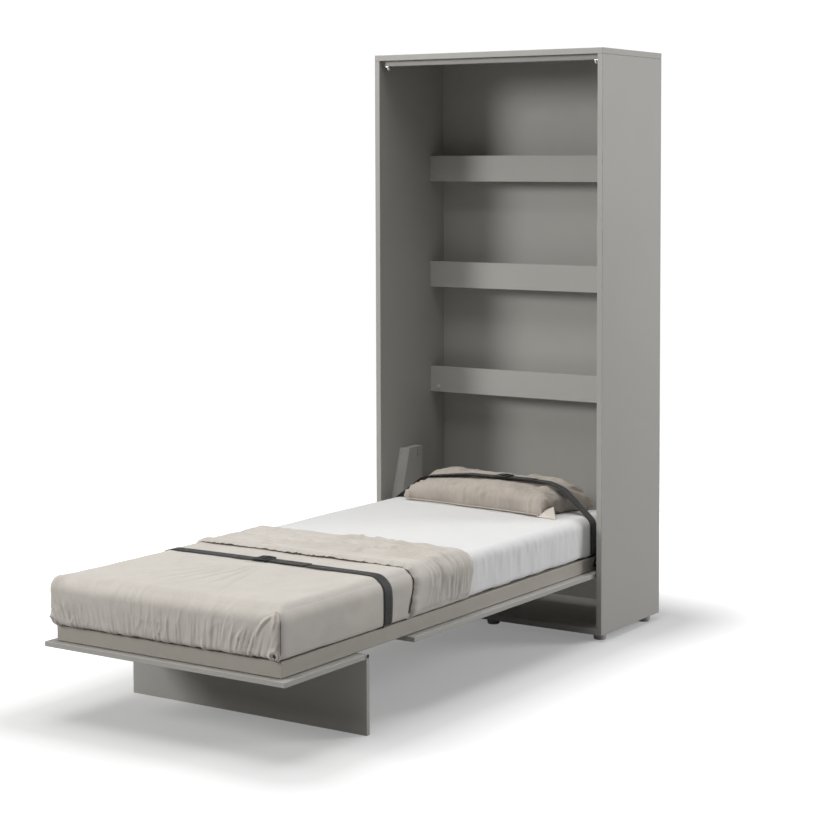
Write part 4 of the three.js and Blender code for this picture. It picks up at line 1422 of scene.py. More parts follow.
@dataclass
class Mattress:
    """The foam mattress and the white sheet stretched over it."""

    sheet_gap: float = 0.0018
    sheet_thickness: float = 0.0012
    sheet_step: float = 0.009
    turn_under: float = 0.02

    def core(self) -> Piece:
        """The foam core in its ticking.

        Returns:
            The core, which stands for the mattress node.
        """
        low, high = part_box("mattress")
        inset = 0.003
        shape = bmesh.new()
        bmesh.ops.create_cube(shape, size=1.0)
        size = [high[k] - low[k] - 2 * inset for k in range(3)]
        middle = (low + high) / 2
        for vertex in shape.verts:
            vertex.co = Vector([middle[k] + vertex.co[k] * size[k] for k in range(3)])
        bmesh.ops.bevel(shape, geom=shape.edges[:], offset=0.03, segments=5, affect="EDGES", profile=0.5)
        core = piece_from_bmesh("mattress_core", shape, Palette.TICKING)
        layer = core.data.uv_layers.new(name="cloth")
        points = points_of(core)
        corner = np.zeros(len(core.data.loops), np.int32)
        core.data.loops.foreach_get("vertex_index", corner)
        flat = points[corner][:, :2] + points[corner][:, 2:3]
        layer.data.foreach_set("uv", flat.astype(np.float32).ravel())
        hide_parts("mattress")
        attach(core, Body.BED.value)
        return core

    @staticmethod
    def _side_creases(block: ClothBlock) -> list[Crease]:
        """Short creases down both sides, spread evenly with a little disorder.

        Args:
            block: The sheet's block.

        Returns:
            The creases, on the sheet's flat measure.
        """
        made = []
        count, start, end = 58, block.low[1] + 0.05, block.high[1] - 0.05
        for sign in (-1, 1):
            rng = np.random.default_rng(21 + sign)
            for k in range(count):
                share = (k + rng.uniform(0.1, 0.9)) / count
                along, above = start + share * (end - start), 0.012 - 0.032 * rng.uniform(0, 1)
                reach = rng.uniform(0.05, 0.14)
                lean = -0.12 + share * 0.24 + rng.normal(0, 0.05)
                bow = rng.normal(0, 0.01)
                far = (along + lean * reach, above - reach)
                middle = ((along + far[0]) / 2 + bow, (above + far[1]) / 2)
                height = 0.0028 * rng.uniform(0.4, 1.0) * (1 if rng.random() < 0.62 else -1)
                line = [(sign * (block.high[0] - v), u) for u, v in ((along, above), middle, far)]
                made.append(Crease(*line, height, 0.0058 * rng.uniform(0.7, 1.4)))
        return made

    def sheet(self) -> Piece:
        """The fitted sheet: flat on top, softly creased down its sides.

        Returns:
            The sheet.
        """
        low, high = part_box("mattress")
        gap = self.sheet_gap
        block = ClothBlock((low.x - gap, low.y - gap, low.z + 0.001),
                           (high.x + gap, high.y + gap, high.z + gap), (self.sheet_step, 0.0075, 0.011),
                           edge=(0.034, 0.034, 0.036), under=self.turn_under, under_radius=0.014, head=True)
        block.build()
        flat = block.flat
        down = np.maximum(np.abs(flat[:, 0]) - block.high[0], 0)
        soft = LatticeNoise(11)
        along = flat[:, 1]
        waves = soft.layered(along / 0.035, down / 0.16 + 3 * np.sign(flat[:, 0]), 2) * 0.002
        bulge = LatticeNoise(12).layered(flat[:, 0] / 0.22, flat[:, 1] / 0.3, 3) * 0.0012
        rise = bulge + waves * fade(down, 0.0, 0.03)
        rise = rise + rise_of(self._side_creases(block), flat)
        rise = rise * (1 - 0.85 * fade(flat[:, 1], 0.0, -0.2))
        sheet = solidified(block.piece("fitted_sheet", Palette.SHEET, rise), self.sheet_thickness)
        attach(sheet, Body.BED.value)
        return sheet

    def build(self) -> None:
        """Builds the core and the sheet."""
        self.core()
        self.sheet()


@dataclass
class Bedspread:
    """The velvet bedspread over the foot half, its head end turned back on itself."""

    thickness: float = 0.0036
    slack: float = 0.007
    band_length: float = 0.352
    head_inset: float = 0.004
    side_draw: float = 0.024
    piping_radius: float = 0.0021
    seam_radius: float = 0.0009
    seam_start: float = 0.034
    curl_radius: float = 0.0105
    curl_body: float = 0.0032

    def build(self) -> None:
        """Builds the main part, the turned-back band and their seams."""
        self.main_part()
        self.band()

    @staticmethod
    def _drawn(points: Rows, top: float, depth: float, shift: float, share: Rows) -> None:
        """Pulls the right side towards the foot the further it hangs down.

        Args:
            points: The cloth's points, which are moved.
            top: The height of its top.
            depth: How far it hangs down.
            shift: How far its hem is pulled.
            share: How much of the pull each point takes.
        """
        hang = fade(top - points[:, 2], 0.02, depth) * (points[:, 0] > 0)
        points[:, 1] -= shift * hang * share

    def main_part(self) -> Piece:
        """The part that lies on the mattress.

        Returns:
            The piece.
        """
        low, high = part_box("bedspread")
        half = high.x - 0.004 - self.slack
        top = high.z - 0.0085
        block = ClothBlock((-half, low.y + self.slack, low.z + 0.0005), (half, high.y - self.head_inset, top),
                           (0.0034, 0.0115, 0.0052), fine_foot=0.11, squareness=7.0, edge=(0.05, 0.062, 0.05),
                           under=0.012, under_radius=0.014)
        block.build()
        rise = self._main_rise(block)
        piece = block.piece("bedspread_main", Palette.VELVET, rise)
        points = points_of(piece)
        share = fade(points[:, 1], high.y - 0.3, high.y)
        self._drawn(points, top, 0.16, self.side_draw, share)
        set_points(piece, points)
        self._corner_seams(block, points)
        piece = solidified(piece, self.thickness)
        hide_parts("bedspread")
        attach(piece, Body.BED.value)
        return piece

    def _corner_seams(self, block: ClothBlock, points: Rows) -> None:
        """The dark seam down each foot corner.

        Args:
            block: The cloth's block.
            points: The cloth's points after shaping.
        """
        sharp = block.sharp
        for side in Side:
            edge = block.high[0] if side is Side.RIGHT else block.low[0]
            on_edge = (np.abs(sharp[:, 0] - edge) < 1e-6) & (np.abs(sharp[:, 1] - block.low[1]) < 1e-6)
            rows = np.unique(block.joined[on_edge])
            line = points[rows][np.argsort(-points[rows][:, 2])]
            outward = np.array([1.0 if side is Side.RIGHT else -1.0, -1.0, 0.0]) / math.sqrt(2)
            span = (line[:, 2] > block.low[2] + 0.02) & (line[:, 2] < block.high[2] - self.seam_start)
            seam = swept(f"corner_seam_{side.label}", line[span] - outward * 0.0002, self.seam_radius,
                         Palette.SEAM)
            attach(seam, Body.BED.value)
        self._curl(block)

    def _curl(self, block: ClothBlock) -> None:
        """The cloth curled round the hole where the right foot corner's hem is gathered, with a dark disc in
        the hole as painted shade.

        Args:
            block: The cloth's block.
        """
        radius, body = self.curl_radius, self.curl_body
        turns = np.linspace(math.radians(-60), math.radians(265), 40)
        shrink = np.linspace(1.0, 0.72, len(turns))
        middle = np.array([block.high[0] - 0.021, block.low[1] - 0.001, block.low[2] + 0.016])
        line = np.stack([middle[0] + radius * shrink * np.cos(turns), np.full_like(turns, middle[1]),
                         middle[2] + radius * shrink * np.sin(turns)], 1)
        curl = swept("corner_curl", line, body, Palette.VELVET, 14)
        # painted shade: a dark disc sits in the curl's hole
        wide = radius * 0.62
        profile = [(0, -0.004), (wide, -0.004), (wide, -0.001), (0, -0.001)]
        hole = lathe_shape("corner_hole", profile, 20, Palette.THREAD)
        hole.data.transform(Matrix.Translation(middle) @ Matrix.Rotation(math.pi / 2, 4, "X"))
        for piece in (curl, hole):
            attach(piece, Body.BED.value)

    def _main_rise(self, block: ClothBlock) -> Rows:
        """How the main part's creases, pleats and slack lift it.

        Args:
            block: The cloth's block.

        Returns:
            The rise of each point.
        """
        flat, foot, side = block.flat, block.low[1], block.high[0]
        x, t = flat[:, 0], foot - flat[:, 1]
        hang = block.high[2] - block.low[2]
        away = np.maximum(np.abs(x) - side, 0)
        lean = np.interp(x, [-side, -0.2, 0.15, side], [0.75, 0.1, -0.1, -0.75])
        warp = LatticeNoise(42)(x / 0.08, t / 0.07)
        across = x - lean * t + 0.006 * warp
        fine = 1 - np.abs(LatticeNoise(31)(across / 0.0105, t / 0.1 + 0.5 * warp))
        thin = 1 - np.abs(LatticeNoise(35)(across / 0.0115 + 4.2, t / 0.06 + 0.5 * warp))
        broad = 1 - np.abs(LatticeNoise(32)(across / 0.028 + 9.5, t / 0.15 + 0.4 * warp))
        patches = fade(LatticeNoise(33).layered(x / 0.09, t / 0.08, 2), -0.7, 0.8)
        on_face = fade(t, -0.065, 0.004) * (away < 1e-9)
        corner_calm = 1 - 0.75 * bell(x - side, 0.12) * fade(t, 0.11, 0.06)
        pleats = (fine**3 * 0.0042 + thin**4 * 0.003 + broad**3 * 0.0024 - 0.0024) * (0.45 + 0.55 * patches)
        pleats *= on_face * corner_calm * (0.3 + 0.7 * fade(t, 0.045, 0.1))
        hem_ring = bell(t - hang + 0.012, 0.016) * on_face
        hem = (1 - np.abs(LatticeNoise(34)(x / 0.011, t / 0.05))) ** 3 * 0.0024 * hem_ring
        pulls = ((-0.26, -1.02), (-0.17, -1.08), (-0.1, -1.02), (-0.35, -0.92), (-0.03, -1.09),
                 (0.06, -1.03), (0.16, -1.08))
        creases = [Crease((-0.02 + 0.006 * k, -0.625), (-0.02 + end[0] * 0.4, -0.78), end, 0.0032, 0.0052)
                   for k, end in enumerate(pulls)]
        corner = (side - 0.012, foot - 0.004)
        rays = ((0.05, 200), (0.062, 222), (0.048, 242), (0.066, 256), (0.04, 182), (0.045, 160), (0.05, 290),
                (0.04, 312))
        for reach, degrees in rays:
            turn = math.radians(degrees)
            end = (corner[0] + reach * math.cos(turn), corner[1] + reach * math.sin(turn))
            middle = ((corner[0] + end[0]) / 2 + 0.004, (corner[1] + end[1]) / 2 - 0.003)
            creases.append(Crease(corner, middle, end, 0.0034, 0.0045))
        creases.append(Crease((side - 0.014, foot - 0.022), (side - 0.062, foot - 0.03),
                              (side - 0.088, foot - 0.092), 0.0046, 0.005))
        rise = pleats + hem + rise_of(creases, flat)
        soft = LatticeNoise(41).layered(x / 0.17, flat[:, 1] / 0.17, 3) * 0.0018
        down = np.maximum(t, 0) + away
        belly = (self.slack - 0.002) * np.sin(np.pi * np.clip(down / (hang * 1.06), 0, 1)) ** 0.8
        points_up = np.where(x < 0, 0.011, 0.006) * np.exp(-((np.hypot(np.abs(x) - side, t) / 0.036) ** 2))
        return rise + soft + belly + points_up + self._gathered_corners(flat, side, foot, hang)

    @staticmethod
    def _gathered_corners(flat: Rows, side: float, foot: float, hang: float) -> Rows:
        """The curled hole where the hem is gathered under each foot corner.

        Args:
            flat: The cloth's flat places.
            side: Half the width of the top.
            foot: Where the foot edge is along Y.
            hang: How far the cloth hangs down.

        Returns:
            The rise of each place.
        """
        total = np.zeros(len(flat))
        for sign, inset in ((1, 0.021), (-1, 0.012)):
            away = np.hypot(flat[:, 0] - sign * (side - inset), flat[:, 1] - (foot - hang + 0.016))
            lip = 0.0055 * bell(away - 0.014, 0.006)
            total += lip - 0.013 * bell(away, 0.0065)
        return total

    def band(self) -> Piece:
        """The turned-back band, puffed along its free edge.

        Returns:
            The piece.
        """
        low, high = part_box("bedspread")
        half = high.x - self.slack + 0.002
        start = high.y - self.band_length
        block = ClothBlock((-half, start, low.z + 0.0005), (half, high.y, high.z - 0.002),
                           (0.0062, 0.0042, 0.006), squareness=5.0, edge=(0.06, 0.03, 0.056), under=0.018,
                           under_radius=0.03, foot=False)
        block.build()
        rise = self._band_rise(block)
        piece = block.piece("bedspread_band", Palette.VELVET, rise)
        points = points_of(piece)
        across = np.clip((points[:, 0] + half) / (2 * half), 0, 1)
        share = np.clip((points[:, 1] - start) / self.band_length, 0, 1)
        points[:, 1] -= 0.018 * (1 - across) * share
        points[:, 1] += 0.004 * LatticeNoise(55)(points[:, 0] / 0.03, share * 0.6 + 2) * fade(share, 0.9, 1.0)
        self._drawn(points, high.z, 0.16, self.side_draw + 0.004, np.ones(len(points)))
        set_points(piece, points)
        self._free_edge(block, points)
        piece = solidified(piece, self.thickness)
        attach(piece, Body.BED.value)
        return piece

    def _free_edge(self, block: ClothBlock, points: Rows) -> None:
        """The dark puckered cord along the band's free edge: partly its piping, partly painted shade of the
        gap under the rolled edge.

        Args:
            block: The band's block.
            points: The band's points after shaping.
        """
        on_edge = np.abs(block.sharp[:, 1] - block.low[1]) < 1e-6
        rows, first = np.unique(block.joined[on_edge], return_index=True)
        order = np.argsort(block.flat[on_edge][first][:, 0])
        line = points[rows][order]
        line[:, 1] -= 0.0008
        wander = LatticeNoise(56)(np.arange(len(line)) / 2.1, np.zeros(len(line)))
        line[:, 1] += 0.0016 * wander
        # partly painted shade: the dark cord also stands for the shadow under the rolled free edge
        seam = swept("band_piping", line, self.piping_radius, Palette.SEAM)
        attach(seam, Body.BED.value)

    def _band_rise(self, block: ClothBlock) -> Rows:
        """How the band's wrinkles lift it.

        Args:
            block: The band's block.

        Returns:
            The rise of each point.
        """
        flat, start, end, side = block.flat, block.low[1], block.high[1], block.high[0]
        x, y = flat[:, 0], flat[:, 1]
        down = np.maximum(np.abs(x) - side, 0)
        warp = LatticeNoise(51).layered(x / 0.13, y / 0.1, 2)
        rng = np.random.default_rng(57)
        creases = []
        for k in range(34):
            gather = start + 0.12 + 0.2 * k / 34 + rng.normal(0, 0.004)
            origin = (rng.uniform(-0.25, 0.25), gather + rng.uniform(-0.05, 0.04) + 0.02)
            if not start + 0.03 < origin[1] < end - 0.015:
                continue
            shoulder = (side - 0.02, gather - 0.01)
            middle = ((origin[0] + shoulder[0]) / 2, max(origin[1], gather) + 0.018)
            creases.append(Crease(origin, middle, shoulder, 0.0085 * rng.uniform(0.4, 1.0),
                                  0.0062 * rng.uniform(0.8, 1.4)))
            hem = (side + 0.14, gather + rng.normal(0.012, 0.006))
            drop = (side + 0.04, gather - 0.012 + rng.normal(0, 0.004))
            creases.append(Crease((side - 0.06, gather - 0.005), drop, hem, 0.004 * rng.uniform(0.5, 1.0),
                                  0.0052))
        for k in range(26):
            origin = (rng.uniform(-0.42, 0.24), rng.uniform(start + 0.03, end - 0.03))
            turn = rng.normal(0.1, 0.5)
            reach = rng.uniform(0.06, 0.22)
            far = (origin[0] + reach * math.cos(turn), origin[1] + 0.6 * reach * math.sin(turn))
            middle = ((origin[0] + far[0]) / 2, (origin[1] + far[1]) / 2 + rng.normal(0, 0.012))
            creases.append(Crease(origin, middle, far, 0.0075 * rng.uniform(0.4, 1.0), 0.0068))
        near_edge = fade(y, start + 0.1, start + 0.02)
        pleats = (1 - np.abs(LatticeNoise(53)(y / 0.0145 + 0.35 * warp, down / 0.13))) ** 3 * 0.0042 - 0.001
        pleats *= fade(down, -0.03, 0.03) * (1 - 0.8 * near_edge)
        slack = LatticeNoise(58).layered(x / 0.12 + 0.3 * warp, y / 0.08, 2) * 0.002
        rolled = -0.007 * (1 - fade(y, start, start + 0.012))
        puff = 0.0062 * bell(y - start - 0.028, 0.022)
        pucker = (1 - np.abs(LatticeNoise(54)(x / 0.0125, y / 0.05))) ** 2 * 0.0046
        pucker *= bell(y - start - 0.008, 0.017)
        head = -0.0045 * (1 - fade(end - y, 0.0, 0.012))
        belly = (self.slack - 0.003) * np.sin(np.pi * np.clip(down / 0.17, 0, 1))
        return rise_of(creases, flat) + pleats + slack + rolled + puff + pucker + head + belly


class Surfaces:
    """What lies under a strap: the soft pieces as they are at the end."""

    def __init__(self, pieces: Sequence[Piece]) -> None:
        """Reads the pieces' faces.

        Args:
            pieces: The pieces that the strap lies on.
        """
        self.trees = [BVHTree.FromPolygons([v.co.copy() for v in p.data.vertices],
                                           [tuple(f.vertices) for f in p.data.polygons]) for p in pieces]

    def rise(self, start: Vector, inward: Vector, reach: float) -> float | None:
        """How far from start the first surface is along a direction, or None.

        Args:
            start: Where the look starts.
            inward: The direction, of length 1.
            reach: How far it looks.

        Returns:
            The distance, in metres.
        """
        hits = [tree.ray_cast(start, inward, reach)[3] for tree in self.trees]
        found = [hit for hit in hits if hit is not None]
        return min(found) if found else None


@dataclass
class Strap:
    """One strap with its slide buckle, pulled over the bedding from side to side."""

    name: str
    node: str
    buckle_node: str
    tail_length: float
    width: float = 0.045
    thickness: float = 0.0018
    clearance: float = 0.0009
    step: float = 0.006

    def path(self, under: Surfaces) -> Rows:
        """The strap's underside seen along Y, from the left end over the top to the right end.

        Args:
            under: What it lies on.

        Returns:
            Rows of (x, z).
        """
        low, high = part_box(self.node)
        middle_y = (low.y + high.y) / 2
        gap, edge = self.clearance, high.x - self.thickness
        rows = [middle_y + share * self.width for share in (-0.5, -0.25, 0.0, 0.25, 0.5)]
        sides = {}
        for sign in (-1, 1):
            points = []
            for z in np.arange(low.z + 0.012, high.z, self.step):
                hits = [under.rise(Vector((sign * (edge + 0.1), y, z)), Vector((-sign, 0, 0)), 0.2)
                        for y in rows]
                found = [edge + 0.1 - hit for hit in hits if hit is not None]
                if found:
                    points.append((sign * (max(found) + gap), z))
            sides[sign] = points
        top = []
        for x in np.arange(-edge, edge, self.step):
            hits = [under.rise(Vector((x, y, high.z + 0.2)), Vector((0, 0, -1)), 0.5) for y in rows]
            found = [high.z + 0.2 - hit for hit in hits if hit is not None]
            if found:
                top.append((x, max(found) + gap))
        foot = edge - 0.012
        line = np.array([(-foot, low.z + 0.002), *sides[-1], *top, *sides[1], (foot, low.z + 0.002)])
        turn = np.arctan2(line[:, 1] - low.z, line[:, 0])
        return self._pulled(line[np.argsort(-turn, kind="stable")])

    @staticmethod
    def _pulled(line: Rows) -> Rows:
        """The line pulled tight: its upper hull, with even steps.

        Args:
            line: Rows of (x, z).

        Returns:
            Rows of (x, z).
        """
        hull: list[Rows] = []
        for point in line:
            while len(hull) > 1:
                a, b = hull[-2], hull[-1]
                if (b[0] - a[0]) * (point[1] - a[1]) - (b[1] - a[1]) * (point[0] - a[0]) < 0:
                    break
                hull.pop()
            hull.append(point)
        corners = np.array(hull)
        along = np.concatenate([[0], np.cumsum(np.linalg.norm(np.diff(corners, axis=0), axis=1))])
        even = np.arange(0, along[-1], 0.006)
        tight = np.stack([np.interp(even, along, corners[:, k]) for k in range(2)], 1)
        for _ in range(3):
            tight[1:-1] = (tight[:-2] + 2 * tight[1:-1] + tight[2:]) / 4
        return tight

    def ribbon(self, name: str, line: Rows, middle_y: float, lift: float = 0.0) -> Piece:
        """Webbing swept along a line in (x, z).

        Args:
            name: The piece's name.
            line: The line of its underside.
            middle_y: The middle of its width.
            lift: How far it stands off the line.

        Returns:
            The ribbon, with its own flat measure as a UV map.
        """
        tangent = np.gradient(line, axis=0)
        tangent /= np.maximum(np.linalg.norm(tangent, axis=1, keepdims=True), 1e-9)
        normal = np.stack([-tangent[:, 1], tangent[:, 0]], 1)
        along = np.concatenate([[0], np.cumsum(np.linalg.norm(np.diff(line, axis=0), axis=1))])
        half, thick = self.width / 2, self.thickness
        inner = half - thick * 0.4
        ring = [(-inner, 0.0), (0.0, 0.0), (inner, 0.0), (half, thick * 0.5), (inner, thick),
                (half * 0.55, thick * 0.93), (0.0, thick * 0.88), (-half * 0.55, thick * 0.93),
                (-inner, thick), (-half, thick * 0.5)]
        wander = LatticeNoise(61)(along / 0.09, along * 0 + middle_y * 10) * 0.0006
        points, count = [], len(ring)
        for k, (x, z) in enumerate(line):
            for across, out in ring:
                rise = out + lift
                points.append((x + normal[k, 0] * rise, middle_y + across + wander[k],
                               z + normal[k, 1] * rise))
        faces, cuts = [], []
        for k in range(len(line) - 1):
            for m in range(count):
                n = (m + 1) % count
                faces.append((k * count + m, k * count + n, (k + 1) * count + n, (k + 1) * count + m))
                near, far = ring[m][0], ring[n][0]
                cuts += [(near, along[k]), (far, along[k]), (far, along[k + 1]), (near, along[k + 1])]
        last = (len(line) - 1) * count
        faces += [tuple(range(count))[::-1], tuple(last + m for m in range(count))]
        cuts += [(across, along[0]) for across, _ in reversed(ring)]
        cuts += [(across, along[-1]) for across, _ in ring]
        ribbon = piece_from(name, points, faces, Palette.STRAP)
        layer = ribbon.data.uv_layers.new(name="cloth")
        layer.data.foreach_set("uv", np.array(cuts, np.float32).ravel())
        check = bmesh.new()
        check.from_mesh(ribbon.data)
        bmesh.ops.recalc_face_normals(check, faces=check.faces)
        check.to_mesh(ribbon.data)
        check.free()
        return ribbon

    def buckle(self, line: Rows, middle_y: float) -> Piece:
        """The three-bar slide that joins the strap.

        Args:
            line: The strap's underside.
            middle_y: The middle of its width.

        Returns:
            The buckle.
        """
        low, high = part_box(self.buckle_node)
        middle_x = (low.x + high.x) / 2
        length, width, thick, bar = 0.058, 0.058, 0.0042, 0.0075
        slot = (length - 3 * bar) / 2
        columns = np.cumsum([0, bar, slot, bar, slot, bar]) - length / 2
        rows = np.array([-width / 2, -width / 2 + 0.0055, width / 2 - 0.0055, width / 2])
        shape = bmesh.new()
        corner = {(i, j): shape.verts.new((x, y, 0))
                  for i, x in enumerate(columns) for j, y in enumerate(rows)}
        solid = [(i, j) for i in range(5) for j in range(3) if not (i in (1, 3) and j == 1)]
        for i, j in solid:
            shape.faces.new([corner[i, j], corner[i + 1, j], corner[i + 1, j + 1], corner[i, j + 1]])
        raised = bmesh.ops.extrude_face_region(shape, geom=shape.faces[:])["geom"]
        for vertex in (item for item in raised if isinstance(item, bmesh.types.BMVert)):
            vertex.co.z += thick
        buckle = bevelled(piece_from_bmesh(self.buckle_node + "_slide", shape, Palette.BLACK), 0.0013, 3)
        points = points_of(buckle)
        points[:, 2] += 0.004 - 2.4 * points[:, 0] ** 2
        reach = 0.02
        places = [middle_x - reach, middle_x, middle_x + reach]
        behind, height, ahead = np.interp(places, line[:, 0], line[:, 1])
        points[:, 2] += (ahead - behind) / (2 * reach) * points[:, 0]
        set_points(buckle, points + np.array([middle_x, middle_y, height + self.thickness]))
        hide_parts(self.buckle_node)
        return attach(buckle, Body.BED.value)

    def build(self, under: Surfaces) -> None:
        """Builds the strap, its buckle, its doubled tail and the tail's stitches.

        Args:
            under: What it lies on.
        """
        low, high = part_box(self.node)
        middle_y = (low.y + high.y) / 2
        line = self.path(under)
        strap = self.ribbon(self.name, line, middle_y)
        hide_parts(self.node)
        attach(strap, Body.BED.value)
        self.buckle(line, middle_y)
        b_low, b_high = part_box(self.buckle_node)
        start = (b_low.x + b_high.x) / 2 - 0.018
        past = line[:, 0] - start
        near = line[(past > 0) & (past < self.tail_length) & (line[:, 1] > low.z + 0.08)]
        lift = self.thickness + 0.0006 + 0.004 * np.exp(-((near[:, 0] - start) / 0.03) ** 2)
        raised = near + np.stack([np.zeros(len(near)), lift], 1)
        tail = self.ribbon(self.name + "_tail", raised, middle_y + 0.0012)
        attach(tail, Body.BED.value)
        end = near[-1]
        profile = [(0, -0.0016), (0.0004, -0.0011), (0.0004, 0.0011), (0, 0.0016)]
        stitch = lathe_shape("stitch", profile, 6, Palette.THREAD)
        stitch.data.transform(Matrix.Rotation(math.pi / 2, 4, "Y"))
        inset, back = self.width / 2 - 0.005, 0.03
        corners = [(end[0] - 0.004, middle_y - inset), (end[0] - 0.004, middle_y + inset),
                   (end[0] - back, middle_y + inset), (end[0] - back, middle_y - inset)]
        heights = [float(np.interp(x, near[:, 0], raised[:, 1])) + self.thickness for x, _ in corners]
        points = [(x, y, z) for (x, y), z in zip(corners, heights)]
        values = {"Pitch": 0.0042, "Size Change": 0.08, "Seed": 9}
        lines = [(k, (k + 1) % 4) for k in range(4)]
        Repeats.make(self.name + "_stitches", Repeats.along_line_tree(), points, lines, values, stitch,
                     Palette.THREAD, Body.BED)


@dataclass
class Pillow:
    """The velvet pillow: a crowned case whose sides pull in between its corners."""

    centre: tuple[float, float] = (-0.002, 0.7535)
    half_length: float = 0.362
    half_depth: float = 0.132
    crown: float = 0.1
    turn: float = -5.0
    strap_y: float = 0.7215
    across: int = 150
    along: int = 60
    swell_limit: float = 0.014

    def _case(self) -> tuple[Rows, list]:
        """The sewn case as two panels joined at their edge, with its middle at the origin.

        Returns:
            Its points and its faces.
        """
        u, v = np.meshgrid(np.linspace(-1, 1, self.across), np.linspace(-1, 1, self.along), indexing="ij")
        end = 1 - np.abs(u) ** np.where(u > 0, 5.5, 4.0)
        full = (np.maximum(end, 0) * (1 - np.abs(v) ** 2.8)) ** 0.5
        front = (1 - v) / 2
        x = self.half_length * u * (1 - 0.03 * (1 - v**2))
        x = x - 0.055 * np.maximum(u, 0) ** 6 * front**1.5 + 0.03 * np.maximum(-u, 0) ** 6 * front**1.5
        y = self.half_depth * v * (1 - 0.05 * (1 - u**2))
        slope = math.tan(math.radians(-self.turn))
        strap = bell(y + self.centre[1] - self.strap_y - slope * x, 0.032)
        swell = 0.16 * bell(v - 0.45, 0.42)
        top = self.crown * full * (1 + swell - 0.16 * strap)
        bottom = -0.004 * full
        seam = 0.004
        points = np.concatenate([np.stack([x, y, seam + top], -1).reshape(-1, 3),
                                 np.stack([x, y, seam + bottom], -1).reshape(-1, 3)])
        quads = grid_quads(*u.shape)
        faces = np.concatenate([quads, quads[:, ::-1] + u.size])
        keys, index = np.unique(np.round(points, 6), axis=0, return_inverse=True)
        return keys, index.ravel()[faces].tolist()

    def _swollen(self, piece: Piece) -> None:
        """Fills the case by cloth simulation and caps how far it moves.

        Args:
            piece: The sewn case.
        """
        rest = points_of(piece)
        bpy.context.view_layer.objects.active = piece
        cloth = piece.modifiers.new("filling", "CLOTH")
        settings = cloth.settings
        settings.quality, settings.mass = 6, 0.3
        settings.tension_stiffness = settings.compression_stiffness = 15
        settings.shear_stiffness, settings.bending_stiffness = 5, 0.3
        settings.use_pressure, settings.uniform_pressure_force = True, 3.0
        settings.shrink_min = -0.035
        settings.effector_weights.gravity = 0.0
        cloth.collision_settings.use_collision = False
        scene = bpy.context.scene
        for number in range(1, 19):
            scene.frame_set(number)
        moved = piece.evaluated_get(bpy.context.evaluated_depsgraph_get()).data
        flat = np.zeros(len(moved.vertices) * 3, np.float32)
        moved.vertices.foreach_get("co", flat)
        change = flat.reshape(-1, 3).astype(float) - rest
        length = np.linalg.norm(change, axis=1, keepdims=True)
        change *= np.minimum(1.0, self.swell_limit / np.maximum(length, 1e-9))
        piece.modifiers.clear()
        scene.frame_set(1)
        set_points(piece, rest + change)

    def _puckered(self, piece: Piece) -> None:
        """Adds the puckers along the seam, the slack at the ends and the rest on the mattress.

        Args:
            piece: The filled case.
        """
        points, normals = points_of(piece), normals_of(piece)
        x, y, z = points.T
        u, v = x / self.half_length, y / self.half_depth
        above = np.clip(z / self.crown, 0, 1)
        near_end = fade(np.abs(u), 0.55, 0.95)
        near_seam = fade(np.abs(v), 0.6, 1.0)
        warp = LatticeNoise(73)(x / 0.07, y / 0.07)
        end_folds = (1 - np.abs(LatticeNoise(72)(z / 0.011 + y / 0.03 + 0.4 * warp, u * 5))) ** 3
        seam_folds = (1 - np.abs(LatticeNoise(71)(x / 0.014 + 0.5 * warp, v * 2))) ** 2
        lazy = LatticeNoise(74).layered(x / 0.1 + warp, y / 0.05 + z / 0.06 + warp, 3)
        rise = 0.0125 * end_folds * near_end * above**0.3 + 0.0036 * seam_folds * near_seam
        rise += 0.0052 * lazy - 0.003
        points = points + normals * rise[:, None]
        points[:, 2] = np.maximum(points[:, 2], 0.0006)
        set_points(piece, points)

    def _flange(self, turn: Matrix) -> None:
        """The seam's piping and the folded corner that lies out on the sheet.

        Args:
            turn: How the pillow is placed.
        """
        u = np.linspace(-0.97, 0.985, 90)
        x = self.half_length * u
        x = x - 0.055 * np.maximum(u, 0) ** 6 + 0.03 * np.maximum(-u, 0) ** 6
        y = -self.half_depth * (1 - 0.05 * (1 - u**2)) - 0.004
        line = np.stack([x, y, np.full_like(x, 0.009)], 1)
        piping = swept("pillow_piping", line, 0.0024, Palette.PILLOW)
        corner_x, corner_y = float(x[-1]), float(y[-1])
        lower = [(corner_x - 0.012, corner_y + 0.004, 0.001), (corner_x + 0.082, corner_y - 0.004, 0.001),
                 (corner_x + 0.034, corner_y + 0.062, 0.001)]
        upper = [(corner_x - 0.008, corner_y + 0.008, 0.018), (corner_x + 0.08, corner_y - 0.002, 0.0035),
                 (corner_x + 0.028, corner_y + 0.056, 0.036)]
        faces = [(2, 1, 0), (3, 4, 5), (0, 1, 4, 3), (1, 2, 5, 4), (2, 0, 3, 5)]
        flap = bevelled(piece_from("pillow_corner", lower + upper, faces, Palette.PILLOW_LINING), 0.0016, 3)
        for piece in (piping, flap):
            piece.data.transform(turn)
            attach(piece, Body.BED.value)

    def build(self) -> Piece:
        """Builds the pillow.

        Returns:
            The pillow, resting on the sheet.
        """
        points, faces = self._case()
        pillow = piece_from("pillow_case", points, faces, Palette.PILLOW)
        self._swollen(pillow)
        self._puckered(pillow)
        modifier = pillow.modifiers.new("finer", "SUBSURF")
        modifier.levels = modifier.render_levels = 1
        bake_modifiers(pillow)
        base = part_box("pillow")[0].z + 0.0022
        turn = Matrix.Translation((*self.centre, base)) @ Matrix.Rotation(math.radians(self.turn), 4, "Z")
        pillow.data.transform(turn)
        self._flange(turn)
        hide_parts("pillow")
        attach(pillow, Body.BED.value)
        return pillow


